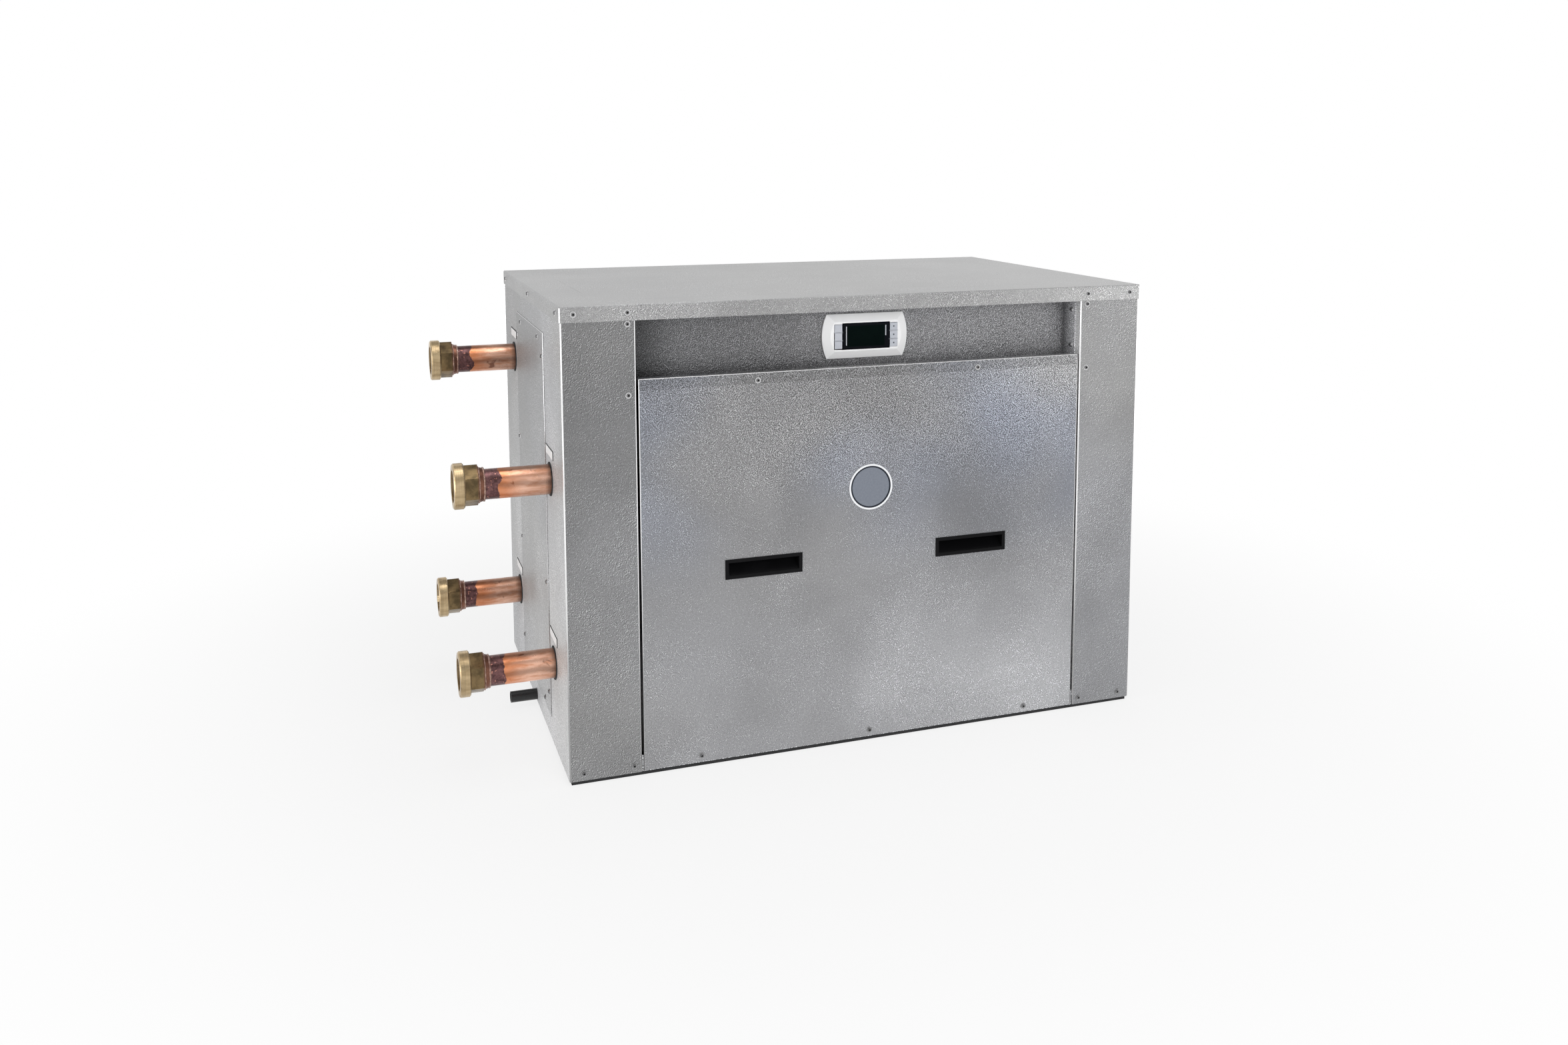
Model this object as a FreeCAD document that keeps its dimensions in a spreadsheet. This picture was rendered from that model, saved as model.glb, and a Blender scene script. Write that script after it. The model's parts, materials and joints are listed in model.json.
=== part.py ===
import FreeCAD, Part
import math
import os
import re

import Sketcher

# Water-to-water heat pump in a folded steel cabinet, in millimetres.
# +Z is up, +X is to the right seen from the front, and the front faces -Y.
# The origin is the middle of the cabinet's footprint on the floor.

SIZES = {
    # Cabinet
    "cabinet_width": 1125,
    "cabinet_depth": 730,
    "cabinet_height": 840,
    "gauge": 1.5,
    "slack": 0.3,
    "strip_height": 7,
    "strip_width": 40,
    "strip_inset": 4,
    "pan_gauge": 2,
    "pan_rim": 30,
    "lid_flange": 28,
    "post_width": 128,
    "post_return": 38,
    "rear_return": 40,
    # Control recess in the front
    "recess_depth": 65,
    "tray_setback": 18,
    "tray_gap": 2,
    "lip_drop": 30,
    "tray_sink": 9,
    # Lift-off front panel
    "panel_drop": 130,
    "panel_lift": 2,
    "panel_return": 15,
    "opening_gap": 3.5,
    "band_height": 20,
    "band_setback": 2,
    "handle_width": 145,
    "handle_height": 36,
    "handle_depth": 26,
    "handle_lip": 5,
    "handle_proud": 1.5,
    "handle_wall": 1.5,
    "handle_floor": 9,
    "handle_spacing": 410,
    "handle_level": 358,
    "badge_radius": 42.5,
    "badge_rim": 4,
    "badge_gauge": 2.5,
    "badge_sink": 0.6,
    "badge_level": 486,
    # Side access panel
    "access_width": 350,
    "access_bottom": 51,
    "access_drop": 68,
    "access_overlap": 26,
    # Screws
    "screw_radius": 2.1,
    "screw_length": 12,
    "band_screw_length": 26,
    "washer_radius": 5.6,
    "washer_gauge": 1,
    "head_radius": 4,
    "head_crown": 3.1,
    "head_height": 2.8,
    "recess_flats": 3,
    "recess_sink": 1.8,
    "screw_edge": 14,
    "lid_screw_inset": 22,
    "lid_screw_setback": 35,
    "post_screw_inset": 25,
    "post_screw_drop": 27,
    "tray_screw_drop": 19,
    "tray_screw_setback": 31,
    "rear_screw_inset": 21,
    "access_screw_inset": 44,
    "access_row_spacing": 224,
    "band_screw_spacing": 430,
    "foot_screw_spacing": 648,
    "foot_screw_level": 20,
    # Display
    "display_width": 151,
    "display_height": 83,
    "display_bulge": 9,
    "display_depth": 11,
    "display_bevel": 14,
    "display_bevel_depth": 7,
    "display_skin": 4,
    "display_margin": 10,
    "display_offset": 12,
    "display_drop": 82,
    "window_width": 92,
    "window_height": 47,
    "window_proud": 0.6,
    "key_column": 55,
    "key_pitch": 15.5,
    "key_width": 15,
    "key_height": 14,
    "key_proud": 1,
    "key_flange": 1,
    "key_travel": 0.8,
    "plunger_radius": 3,
    "board_seat": 1,
    "board_gauge": 1.6,
    "box_width": 120,
    "box_height": 56,
    "box_depth": 25,
    # Water pipes and adapters
    "pipe_radius": 27,
    "pipe_wall": 1.6,
    "pipe_reach": 170,
    "load_row": 220,
    "source_row": 227,
    "pipe_low": 172,
    "load_top": 514,
    "source_drop": 168,
    "braze_gap": 0.1,
    "thread_radius": 28.4,
    "thread_depth": 34,
    "flange_radius": 40.5,
    "flange_length": 19,
    "flange_round": 2,
    "hex_flats": 64,
    "hex_length": 24,
    "collar_radius": 31.5,
    "collar_tip": 29,
    "collar_length": 10,
    "socket_depth": 16,
    "grommet_wall": 2.5,
    "grommet_flange": 1.2,
    "grommet_length": 7,
    "tag_width": 80,
    "tag_height": 17,
    "tag_gauge": 0.6,
    "tag_rise": 14,
    "drain_radius": 11,
    "drain_wall": 2.5,
    "drain_reach": 52,
    "drain_inside": 40,
    "drain_row": 19,
    "gland_radius": 16,
    "gland_neck_radius": 13,
    "gland_neck_length": 11,
    "gland_bore": 9,
    "gland_length": 22,
    "gland_row": 225,
    "gland_level": 600,
    # Plate heat exchangers
    "exchanger_gap": 110,
    "exchanger_depth": 120,
    "exchanger_step": 3,
    "plate_gauge": 4,
    "plate_pitch": 14.5,
    "port_spacing": 76,
    "port_margin": 46,
    "neck_wall": 3,
    "neck_length": 25,
    "water_way": 60,
    "line_way": 40,
    "stand_gauge": 3,
    "stand_foot": 25,
    # Compressor
    "compressor_x": 60,
    "compressor_y": 60,
    "grommet_height": 24,
    "foot_grommet_radius": 16,
    "feet_width": 240,
    "feet_gauge": 5,
    "bolt_spacing": 190,
    "bolt_radius": 5,
    "bolt_head_radius": 9,
    "bolt_head_height": 6,
    "shell_radius": 95,
    "shell_wall": 4,
    "shell_height": 360,
    "shell_round": 15,
    "cap_height": 60,
    "cap_round": 28,
    "shaft_radius": 15,
    "shaft_clear": 0.05,
    "shaft_foot": 30,
    "lower_frame_level": 40,
    "frame_gauge": 12,
    "stator_level": 90,
    "stator_height": 110,
    "winding_height": 18,
    "winding_inset": 12,
    "rotor_radius": 48,
    "air_gap": 0.5,
    "main_frame_level": 222,
    "main_bearing": 28,
    "crank_radius": 11,
    "crank_length": 18,
    "hub_wall": 6,
    "orbit_radius": 5,
    "scroll_radius": 66,
    "scroll_plate": 10,
    "fixed_plate": 14,
    "wrap_height": 25,
    "wrap_wall": 4.5,
    "wrap_clear": 0.5,
    "discharge_port": 5,
    "terminal_width": 90,
    "terminal_depth": 34,
    "terminal_height": 100,
    "terminal_level": 200,
    "terminal_wrap": 13,
    "suction_level": 292,
    # Refrigerant circuit
    "line_radius": 11,
    "suction_radius": 14,
    "liquid_radius": 8,
    "line_wall": 1,
    "line_bend": 34,
    "line_seat": 10,
    "stub_wall": 1.5,
    "stub_length": 18,
    "valve_x": -110,
    "valve_rise": 76,
    "valve_radius": 24,
    "valve_wall": 2.5,
    "valve_length": 190,
    "valve_port_spacing": 34,
    "piston_length": 10,
    "spool_rod": 5,
    "slide_width": 16,
    "slide_drop": 18,
    "slide_overlap": 13,
    "coil_radius": 19,
    "coil_length": 46,
    "arch_rise": 95,
    "liquid_reach": 90,
    "drier_y": -40,
    "drier_radius": 30,
    "drier_length": 112,
    "drier_taper": 18,
    "expansion_y": 72,
    "expansion_radius": 15,
    "expansion_length": 44,
    "motor_radius": 20,
    "motor_height": 58,
    "motor_seat": 12,
    # Electrical box
    "electric_left": 170,
    "electric_width": 230,
    "electric_depth": 140,
    "electric_drop": 420,
    "electric_height": 350,
    "contactor_width": 60,
    "contactor_height": 82,
    "contactor_depth": 62,
    "contactor_inset": 24,
    "contactor_rise": 180,
    "armature_size": 32,
    "armature_depth": 16,
    "armature_proud": 4,
    "armature_travel": 3,
    "controller_width": 150,
    "controller_height": 112,
    "controller_depth": 58,
    "controller_inset": 40,
    "controller_rise": 30,
    "conduit_radius": 9,
    "conduit_wall": 3,
    "conduit_bend": 44,
    "conduit_rise": 50,
}

doc = FreeCAD.newDocument("water_to_water_heat_pump")
sheet = doc.addObject("Spreadsheet::Sheet", "Sizes")
for row, (alias, value) in enumerate(SIZES.items(), start=1):
    sheet.set(f"A{row}", alias)
    sheet.set(f"B{row}", str(value))
    sheet.setAlias(f"B{row}", alias)
doc.recompute()

# Places that several pieces share, written as expressions of the sheet's sizes
SIDE = "(cabinet_width/2 - gauge - slack)"
FRONT = "(cabinet_depth/2 - gauge - slack)"
REAR = f"({FRONT} - gauge)"
TOP = "(cabinet_height - gauge - slack)"
POST = f"({SIDE} - post_width)"
PANEL_TOP = "(cabinet_height - panel_drop)"
ACCESS_TOP = "(cabinet_height - access_drop)"
DISPLAY_LEVEL = "(cabinet_height - display_drop)"
SOURCE_TOP = "(cabinet_height - source_drop)"
VALVE_LEVEL = "(load_top + valve_rise)"
ELECTRIC_BOTTOM = "(cabinet_height - electric_drop)"
BACK = f"(-{FRONT} + recess_depth)"
FLOOR = "(strip_height + pan_gauge)"
PAN_X = f"({SIDE} - gauge - slack)"
PAN_FRONT = f"({FRONT} - gauge - slack)"
PAN_REAR = f"({REAR} - gauge - slack)"
PANEL_FOOT = "(strip_height + panel_lift)"
RIM_TOP = "(strip_height + pan_rim + slack)"
PANEL_X = f"({POST} - opening_gap)"
LIP = f"(-{FRONT} + panel_return + tray_gap)"
FRONT_ROW = "(-load_row)"
REAR_ROW = "(source_row)"
GLAND_ROW = "(-gland_row)"
DRAIN_LEVEL = f"({FLOOR} + drain_radius + slack)"
LID_SCREW_LEVEL = "(cabinet_height - screw_edge)"
WATER_PORTS = {
    "load": [(FRONT_ROW, "load_top"), (FRONT_ROW, "pipe_low")],
    "source": [(REAR_ROW, SOURCE_TOP), (REAR_ROW, "pipe_low")],
}
ALL_PORTS = WATER_PORTS["load"] + WATER_PORTS["source"]

# Turns that lay a piece drawn along Z onto another axis
TURNS = {
    "z": FreeCAD.Rotation(),
    "x": FreeCAD.Rotation(FreeCAD.Vector(0, 1, 0), 90),
    "y": FreeCAD.Rotation(FreeCAD.Vector(1, 0, 0), -90),
    "-x": FreeCAD.Rotation(FreeCAD.Vector(0, 1, 0), -90),
    "-y": FreeCAD.Rotation(FreeCAD.Vector(1, 0, 0), 90),
}
nodes = []


def cells(text):
    """The expression with each size name pointed at its cell."""
    def point(match):
        word = match.group(0)
        return f"Sizes.{word}" if word in SIZES else word
    return re.sub(r"[a-z][a-z_]*", point, str(text))


def number(text):
    """The value that an expression of sizes has now."""
    return float(sheet.evalExpression(cells(text)))


def place(piece, at, axis="z"):
    """Turn a piece onto an axis and bind its position to the sheet."""
    piece.Placement = FreeCAD.Placement(FreeCAD.Vector(), TURNS[axis])
    for name, text in zip("xyz", at):
        piece.setExpression(f".Placement.Base.{name}", cells(text))
    return piece


def box(name, across, along, up):
    """A block between two places on each axis."""
    piece = doc.addObject("Part::Box", name)
    for size, (low, high) in zip(("Length", "Width", "Height"), (across, along, up)):
        piece.setExpression(size, cells(f"({high}) - ({low})"))
    return place(piece, [low for low, high in (across, along, up)])


def rod(name, radius, length, at, axis="z"):
    """A round bar that starts at a place and runs along an axis."""
    piece = doc.addObject("Part::Cylinder", name)
    piece.setExpression("Radius", cells(radius))
    piece.setExpression("Height", cells(length))
    return place(piece, at, axis)


def taper(name, start_radius, end_radius, length, at, axis="z"):
    """A round bar whose radius changes along its length."""
    piece = doc.addObject("Part::Cone", name)
    piece.setExpression("Radius1", cells(start_radius))
    piece.setExpression("Radius2", cells(end_radius))
    piece.setExpression("Height", cells(length))
    return place(piece, at, axis)


def hexagon(name, flats, length, at, axis="z"):
    """A six-sided bar, sized across its flats."""
    piece = doc.addObject("Part::Prism", name)
    piece.Polygon = 6
    piece.setExpression("Circumradius", cells(f"({flats})/2/cos(30)"))
    piece.setExpression("Height", cells(length))
    return place(piece, at, axis)


def fuse(name, pieces):
    joined = doc.addObject("Part::MultiFuse", name)
    joined.Shapes = pieces
    return joined


def cut(name, base, tools):
    result = doc.addObject("Part::Cut", name)
    result.Base = base
    result.Tool = tools[0] if len(tools) == 1 else fuse(f"{name}_tools", tools)
    return result


def ring(name, outer, inner, length, at, axis="z"):
    """A straight tube."""
    hole = rod(f"{name}_bore", inner, length, at, axis)
    return cut(name, rod(f"{name}_bar", outer, length, at, axis), [hole])


def group(name, pieces):
    together = doc.addObject("Part::Compound", name)
    together.Links = pieces
    return together


def shaped(name, shape):
    """A piece whose form is worked out point by point."""
    piece = doc.addObject("Part::Feature", name)
    piece.Shape = shape
    piece.Placement = FreeCAD.Placement()
    return piece


def outline(body, plane, points):
    """A closed sketch of straight lines with every corner bound to the sheet."""
    sketch = body.newObject("Sketcher::SketchObject", f"{body.Name}_sketch")
    support = next(f for f in body.Origin.OriginFeatures if f.Role == plane)
    sketch.AttachmentSupport = [(support, "")]
    sketch.MapMode = "FlatFace"
    corners = [FreeCAD.Vector(number(u), number(v), 0) for u, v in points]
    count = len(points)
    for index in range(count):
        sketch.addGeometry(Part.LineSegment(corners[index], corners[(index + 1) % count]), False)
    for index in range(count):
        sketch.addConstraint(Sketcher.Constraint("Coincident", index, 2, (index + 1) % count, 1))
    for index, (u, v) in enumerate(points):
        for kind, text in (("DistanceX", u), ("DistanceY", v)):
            rule = Sketcher.Constraint(kind, -1, 1, index, 1, number(text))
            sketch.setExpression(f"Constraints[{sketch.addConstraint(rule)}]", cells(text))
    return sketch


def pad(name, plane, points, low, high):
    """An outline in XY raised along Z, or one in YZ drawn out along X."""
    body = doc.addObject("PartDesign::Body", name)
    solid = body.newObject("PartDesign::Pad", f"{name}_pad")
    solid.Profile = outline(body, plane, points)
    solid.setExpression("Length", cells(f"({high}) - ({low})"))
    return place(body, ("0", "0", low) if plane == "XY_Plane" else (low, "0", "0"))


def revolve(name, points, at, axis="z"):
    """An outline of radius and height turned about its axis."""
    body = doc.addObject("PartDesign::Body", name)
    solid = body.newObject("PartDesign::Revolution", f"{name}_turn")
    sketch = outline(body, "XZ_Plane", points)
    solid.Profile = sketch
    solid.ReferenceAxis = (sketch, ["V_Axis"])
    solid.Angle = 360
    return place(body, at, axis)


def node(piece, label):
    """Name a finished sub-part for its own file."""
    piece.Label = label
    nodes.append(piece)
    return piece


def vector(at):
    return FreeCAD.Vector(*[number(text) for text in at])


def tube(points, outer, wall, bend):
    """A bent pipe: straight runs through the points, joined by tangent arcs."""
    corners = [vector(at) for at in points]
    edges = []
    start = corners[0]
    for before, corner, after in zip(corners, corners[1:], corners[2:]):
        inward = (before - corner).normalize()
        outward = (after - corner).normalize()
        arc_start = corner + inward * bend
        arc_end = corner + outward * bend
        middle = corner + (inward + outward) * bend * (1 - math.sqrt(0.5))
        edges.append(Part.LineSegment(start, arc_start).toShape())
        edges.append(Part.Arc(arc_start, middle, arc_end).toShape())
        start = arc_end
    edges.append(Part.LineSegment(start, corners[-1]).toShape())
    path = Part.Wire(edges)
    direction = corners[1] - corners[0]
    solids = []
    for radius in (outer, outer - wall):
        circle = Part.Wire(Part.makeCircle(radius, corners[0], direction))
        solids.append(path.makePipe(Part.Face(circle)))
    return solids[0].cut(solids[1])


# Screws: a flat washer, a low round head with a hexagon socket, and a shank
def screw(name, length):
    head = [
        rod(f"{name}_washer", "washer_radius", "washer_gauge", ("0", "0", "0")),
        taper(f"{name}_head", "head_radius", "head_crown", "head_height", ("0", "0", "0")),
        rod(f"{name}_shank", "screw_radius", length, ("0", "0", f"-{length}")),
    ]
    socket = hexagon(f"{name}_socket", "recess_flats", "recess_sink",
                     ("0", "0", "head_height - recess_sink"))
    return cut(f"{name}_form", fuse(f"{name}_bar", head), [socket])


def screw_group(name, form, places):
    """Copies of one screw; each place has its position and the way its head faces."""
    doc.recompute()
    copies = []
    for at, facing in places:
        copy = form.Shape.copy()
        copy.Placement = FreeCAD.Placement(vector(at), TURNS[facing])
        copies.append(copy)
    return shaped(name, Part.makeCompound(copies))


def drill(name, places, radius, reach):
    """Holes for a row of screws, running from each head into the sheets behind it."""
    backwards = {"-y": "y", "y": "-y", "-x": "x", "x": "-x"}
    return [rod(f"{name}_{index}", radius, reach, at, backwards[facing])
            for index, (at, facing) in enumerate(places)]


short_screw = screw("short_screw", "screw_length")
band_screw = screw("band_screw", "band_screw_length")
SCREW_HOLE = "screw_radius + slack"

# Where the cabinet's screws sit
lid_front = [((f"{sign}({SIDE} - {inset})", "-cabinet_depth/2", LID_SCREW_LEVEL), "-y")
             for sign in "-+" for inset in ("lid_screw_inset", "(post_width - screw_edge)")]
LID_SIDE_ROW = f"({FRONT} - lid_screw_setback)"
lid_sides = [((f"{sign}cabinet_width/2", along, LID_SCREW_LEVEL), f"{sign}x".lstrip("+"))
             for sign in "-+" for along in (f"-{LID_SIDE_ROW}", "0", LID_SIDE_ROW)]
LID_REAR_ROW = f"({SIDE} - lid_screw_setback)"
lid_rear = [((across, "cabinet_depth/2", LID_SCREW_LEVEL), "y")
            for across in (f"-{LID_REAR_ROW}", "0", LID_REAR_ROW)]
post_feet = [((f"{sign}({SIDE} - {inset})", f"-{FRONT}", "foot_screw_level"), "-y")
             for sign in "-+" for inset in ("post_screw_inset", "(post_width - screw_edge)")]
post_tops = [((f"{sign}({SIDE} - post_width + screw_edge)", f"-{FRONT}", level), "-y")
             for sign in "-+" for level in ("cabinet_height - lid_flange - washer_radius - slack",
                                            f"{PANEL_TOP} - post_screw_drop")]
tray_ends = [((f"{sign}({POST} - slack - gauge)", f"-{FRONT} + tray_screw_setback", level),
              "x" if sign == "-" else "-x")
             for sign in "-+" for level in (f"{PANEL_TOP} + screw_edge",
                                            "cabinet_height - lid_flange - tray_screw_drop")]
REAR_PITCH = f"({PANEL_TOP} - foot_screw_level)/2"
rear_edges = [((f"{sign}({SIDE} - rear_screw_inset)", FRONT, f"foot_screw_level + {step}*{REAR_PITCH}"), "y")
              for sign in "-+" for step in range(3)]
ACCESS_FACE = f"-({SIDE} + gauge)"
ACCESS_PITCH = f"({ACCESS_TOP} - access_bottom - 2*access_screw_inset)/3"
access_columns = [((ACCESS_FACE, f"{sign}(access_width/2 - screw_edge)",
                    f"access_bottom + access_screw_inset + {step}*{ACCESS_PITCH}"), "-x")
                  for sign in "-+" for step in range(4)]
access_rows = [((ACCESS_FACE, f"{sign}access_row_spacing/2", level), "-x")
               for sign in "-+" for level in ("access_bottom + screw_edge", f"{ACCESS_TOP} - screw_edge")]
BAND_SEAT = f"(-{FRONT} + band_setback*(band_height - screw_edge - washer_radius)/band_height)"
band_screws = [((f"{sign}band_screw_spacing/2", BAND_SEAT, f"{PANEL_TOP} - screw_edge"), "-y")
               for sign in "-+"]
foot_screws = [((across, f"-{FRONT}", "foot_screw_level"), "-y")
               for across in ("-foot_screw_spacing/2", "0", "foot_screw_spacing/2")]

# Black strips that the cabinet stands on
STRIP_X = f"({SIDE} - strip_inset)"
STRIP_Y = f"({FRONT} - strip_inset)"
strips = []
for side, low, high in (("front", f"-{STRIP_Y}", f"-{STRIP_Y} + strip_width"),
                        ("rear", f"{STRIP_Y} - strip_width", STRIP_Y)):
    strips.append(box(f"{side}_strip", (f"-{STRIP_X}", STRIP_X), (low, high), ("0", "strip_height")))
for side, low, high in (("left", f"-{STRIP_X}", f"-{STRIP_X} + strip_width"),
                        ("middle", "-strip_width/2", "strip_width/2"),
                        ("right", f"{STRIP_X} - strip_width", STRIP_X)):
    strips.append(box(f"{side}_strip", (low, high), (f"-{STRIP_Y} + strip_width", f"{STRIP_Y} - strip_width"),
                      ("0", "strip_height")))
node(group("strips", strips), "base_strips")

# Base pan: a folded tray that carries everything inside
COMPRESSOR = ("compressor_x", "compressor_y")
bolt_places = [(f"compressor_x {a} bolt_spacing/2", f"compressor_y {b} bolt_spacing/2")
               for a in "-+" for b in "-+"]
pan_outside = box("pan_outside", (f"-{PAN_X}", PAN_X), (f"-{PAN_FRONT}", PAN_REAR),
                  ("strip_height", "strip_height + pan_rim"))
pan_inside = box("pan_inside", (f"-{PAN_X} + pan_gauge", f"{PAN_X} - pan_gauge"),
                 (f"-{PAN_FRONT} + pan_gauge", f"{PAN_REAR} - pan_gauge"), (FLOOR, f"{FLOOR} + pan_rim"))
pan_holes = [rod(f"pan_bolt_hole_{index}", "bolt_radius + slack", "2*pan_gauge",
                 (x, y, "strip_height - pan_gauge/2"))
             for index, (x, y) in enumerate(bolt_places)]
drain_hole = rod("drain_hole", "drain_radius + slack", "drain_inside",
                 (f"-{SIDE} - slack", "drain_row", DRAIN_LEVEL), "x")
low_screws = foot_screws + post_feet + rear_edges[:1] + rear_edges[3:4]
foot_holes = drill("foot_hole", low_screws, SCREW_HOLE, "2*screw_length")
node(cut("pan", pan_outside, [pan_inside, drain_hole] + pan_holes + foot_holes), "base_pan")


# Side panels: one folded sheet each, with the front post, its return and a rear return
def side_panel(sign):
    profile = [
        (SIDE, f"-{FRONT}"),
        (POST, f"-{FRONT}"),
        (POST, f"-{FRONT} + post_return"),
        (f"({POST} + gauge)", f"-{FRONT} + post_return"),
        (f"({POST} + gauge)", f"-{FRONT} + gauge"),
        (f"({SIDE} - gauge)", f"-{FRONT} + gauge"),
        (f"({SIDE} - gauge)", f"{REAR} - gauge"),
        (f"({SIDE} - rear_return)", f"{REAR} - gauge"),
        (f"({SIDE} - rear_return)", REAR),
        (SIDE, REAR),
    ]
    points = [(f"{sign}{x}", y) for x, y in profile]
    return pad("left_sheet" if sign == "-" else "right_sheet", "XY_Plane", points, "strip_height", TOP)


HOLE_RADIUS = "pipe_radius + grommet_wall"
lid_holes = drill("lid_hole", lid_front + lid_sides + lid_rear, SCREW_HOLE, "2*screw_length")
post_holes = drill("post_hole", post_feet + post_tops, SCREW_HOLE, "screw_length")
tray_holes = drill("tray_hole", tray_ends, SCREW_HOLE, "screw_length")
rear_holes = drill("rear_hole", rear_edges, SCREW_HOLE, "screw_length")
access_holes = drill("access_hole", access_columns + access_rows, SCREW_HOLE, "screw_length")
wall_holes = [rod(f"wall_hole_{index}", HOLE_RADIUS, "4*gauge", (f"-{SIDE} - 2*gauge", y, z), "x")
              for index, (y, z) in enumerate(ALL_PORTS)]
ACCESS_HALF = "(access_width/2 - access_overlap)"
access_window = box("access_window", (f"-{SIDE} - gauge", f"-{SIDE} + 2*gauge"),
                    (f"-{ACCESS_HALF}", ACCESS_HALF),
                    ("access_bottom + access_overlap", f"{ACCESS_TOP} - access_overlap"))
post_notches = [box(f"post_notch_{index}", across, (f"-{FRONT} + gauge", f"-{FRONT} + post_return + gauge"),
                    ("strip_height - gauge", RIM_TOP))
                for index, across in enumerate(((f"-{POST} - 2*gauge", f"-{POST} + gauge"),
                                                (f"{POST} - gauge", f"{POST} + 2*gauge")))]
left_tools = lid_holes + post_holes + tray_holes + rear_holes + access_holes + wall_holes
left_tools += [access_window, drain_hole] + post_notches
node(cut("left_side", side_panel("-"), left_tools), "left_side_panel")
gland_hole = rod("gland_hole", "gland_neck_radius", "4*gauge",
                 (f"{SIDE} - 2*gauge", GLAND_ROW, "gland_level"), "x")
right_tools = lid_holes + post_holes + tray_holes + rear_holes + [gland_hole] + post_notches
node(cut("right_side", side_panel("+"), right_tools), "right_side_panel")

# Rear panel, screwed onto the rear returns
rear_sheet = box("rear_sheet", (f"-{SIDE}", SIDE), (REAR, FRONT), ("strip_height", TOP))
node(cut("rear", rear_sheet, lid_holes + rear_holes), "rear_panel")

# Top cover: a sheet with a flange folded down on each edge
lid_outside = box("lid_outside", ("-cabinet_width/2", "cabinet_width/2"),
                  ("-cabinet_depth/2", "cabinet_depth/2"),
                  ("cabinet_height - lid_flange", "cabinet_height"))
lid_inside = box("lid_inside", ("-cabinet_width/2 + gauge", "cabinet_width/2 - gauge"),
                 ("-cabinet_depth/2 + gauge", "cabinet_depth/2 - gauge"),
                 ("cabinet_height - 2*lid_flange", "cabinet_height - gauge"))
node(cut("lid", lid_outside, [lid_inside] + lid_holes), "top_cover")

# Control tray: the recess behind the display, with a lip that takes the panel's top screws
TRAY_X = f"({POST} - slack)"
TRAY_FLOOR = f"({PANEL_TOP} - tray_sink)"
tray_profile = [
    (LIP, f"{PANEL_TOP} - lip_drop"),
    (f"{LIP} + gauge", f"{PANEL_TOP} - lip_drop"),
    (f"{LIP} + gauge", f"{TRAY_FLOOR} - gauge"),
    (f"{BACK} + gauge", f"{TRAY_FLOOR} - gauge"),
    (f"{BACK} + gauge", TOP),
    (BACK, TOP),
    (BACK, TRAY_FLOOR),
    (LIP, TRAY_FLOOR),
]
tray_sheet = pad("tray_sheet", "YZ_Plane", tray_profile, f"-{TRAY_X}", TRAY_X)
tray_ends_across = ((f"-{TRAY_X}", f"-{TRAY_X} + gauge"), (f"{TRAY_X} - gauge", TRAY_X))
tray_sides = [box(f"tray_side_{index}", across, (f"-{FRONT} + tray_setback", f"{BACK} + gauge"),
                  (f"{TRAY_FLOOR} - gauge", TOP))
              for index, across in enumerate(tray_ends_across)]
DISPLAY_X = "display_offset"
display_hole = box("display_hole",
                   (f"{DISPLAY_X} - box_width/2 - slack", f"{DISPLAY_X} + box_width/2 + slack"),
                   (f"{BACK} - gauge", f"{BACK} + 2*gauge"),
                   (f"{DISPLAY_LEVEL} - box_height/2 - slack", f"{DISPLAY_LEVEL} + box_height/2 + slack"))
band_holes = drill("band_hole", band_screws, SCREW_HOLE, "band_screw_length + slack")
tray_folded = fuse("tray_folded", [tray_sheet] + tray_sides)
node(cut("tray", tray_folded, [display_hole] + tray_holes + band_holes), "control_tray")

# Side access panel over the window in the left side
access_sheet = box("access_sheet", (f"-{SIDE} - gauge", f"-{SIDE}"), ("-access_width/2", "access_width/2"),
                   ("access_bottom", ACCESS_TOP))
node(cut("access", access_sheet, access_holes), "side_access_panel")

# Screws of the fixed sheets
cabinet_places = lid_front + lid_sides + lid_rear + post_feet + post_tops + tray_ends + rear_edges
cabinet_places += access_columns + access_rows
node(screw_group("fixed_screws", short_screw, cabinet_places), "cabinet_screws")

# Front panel: joggled top band, returns on the top and sides, and two pull handles
panel_profile = [
    (f"-{FRONT}", PANEL_FOOT),
    (f"-{FRONT}", f"{PANEL_TOP} - band_height"),
    (f"-{FRONT} + band_setback", PANEL_TOP),
    (f"-{FRONT} + panel_return", PANEL_TOP),
    (f"-{FRONT} + panel_return", f"{PANEL_TOP} - gauge"),
    (f"-{FRONT} + band_setback + gauge", f"{PANEL_TOP} - gauge"),
    (f"-{FRONT} + gauge", f"{PANEL_TOP} - band_height"),
    (f"-{FRONT} + gauge", PANEL_FOOT),
]
panel_sheet = pad("panel_sheet", "YZ_Plane", panel_profile, f"-{PANEL_X}", PANEL_X)
panel_ends_across = ((f"-{PANEL_X}", f"-{PANEL_X} + gauge"), (f"{PANEL_X} - gauge", PANEL_X))
panel_sides = [box(f"panel_side_{index}", across, (f"-{FRONT}", f"-{FRONT} + panel_return"),
                   (RIM_TOP, f"{PANEL_TOP} - band_height"))
               for index, across in enumerate(panel_ends_across)]
HANDLE_X = "(handle_width/2 - handle_lip)"
HANDLE_Z = "(handle_height/2 - handle_lip)"
panel_tools = drill("panel_hole", band_screws + foot_screws, SCREW_HOLE, "screw_length")
for name, sign in (("left", "-"), ("right", "+")):
    centre = f"({sign}handle_spacing/2)"
    panel_tools.append(box(f"{name}_handle_hole",
                           (f"{centre} - {HANDLE_X} - slack", f"{centre} + {HANDLE_X} + slack"),
                           (f"-{FRONT} - gauge", f"-{FRONT} + 2*gauge"),
                           (f"handle_level - {HANDLE_Z} - slack", f"handle_level + {HANDLE_Z} + slack")))
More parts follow.
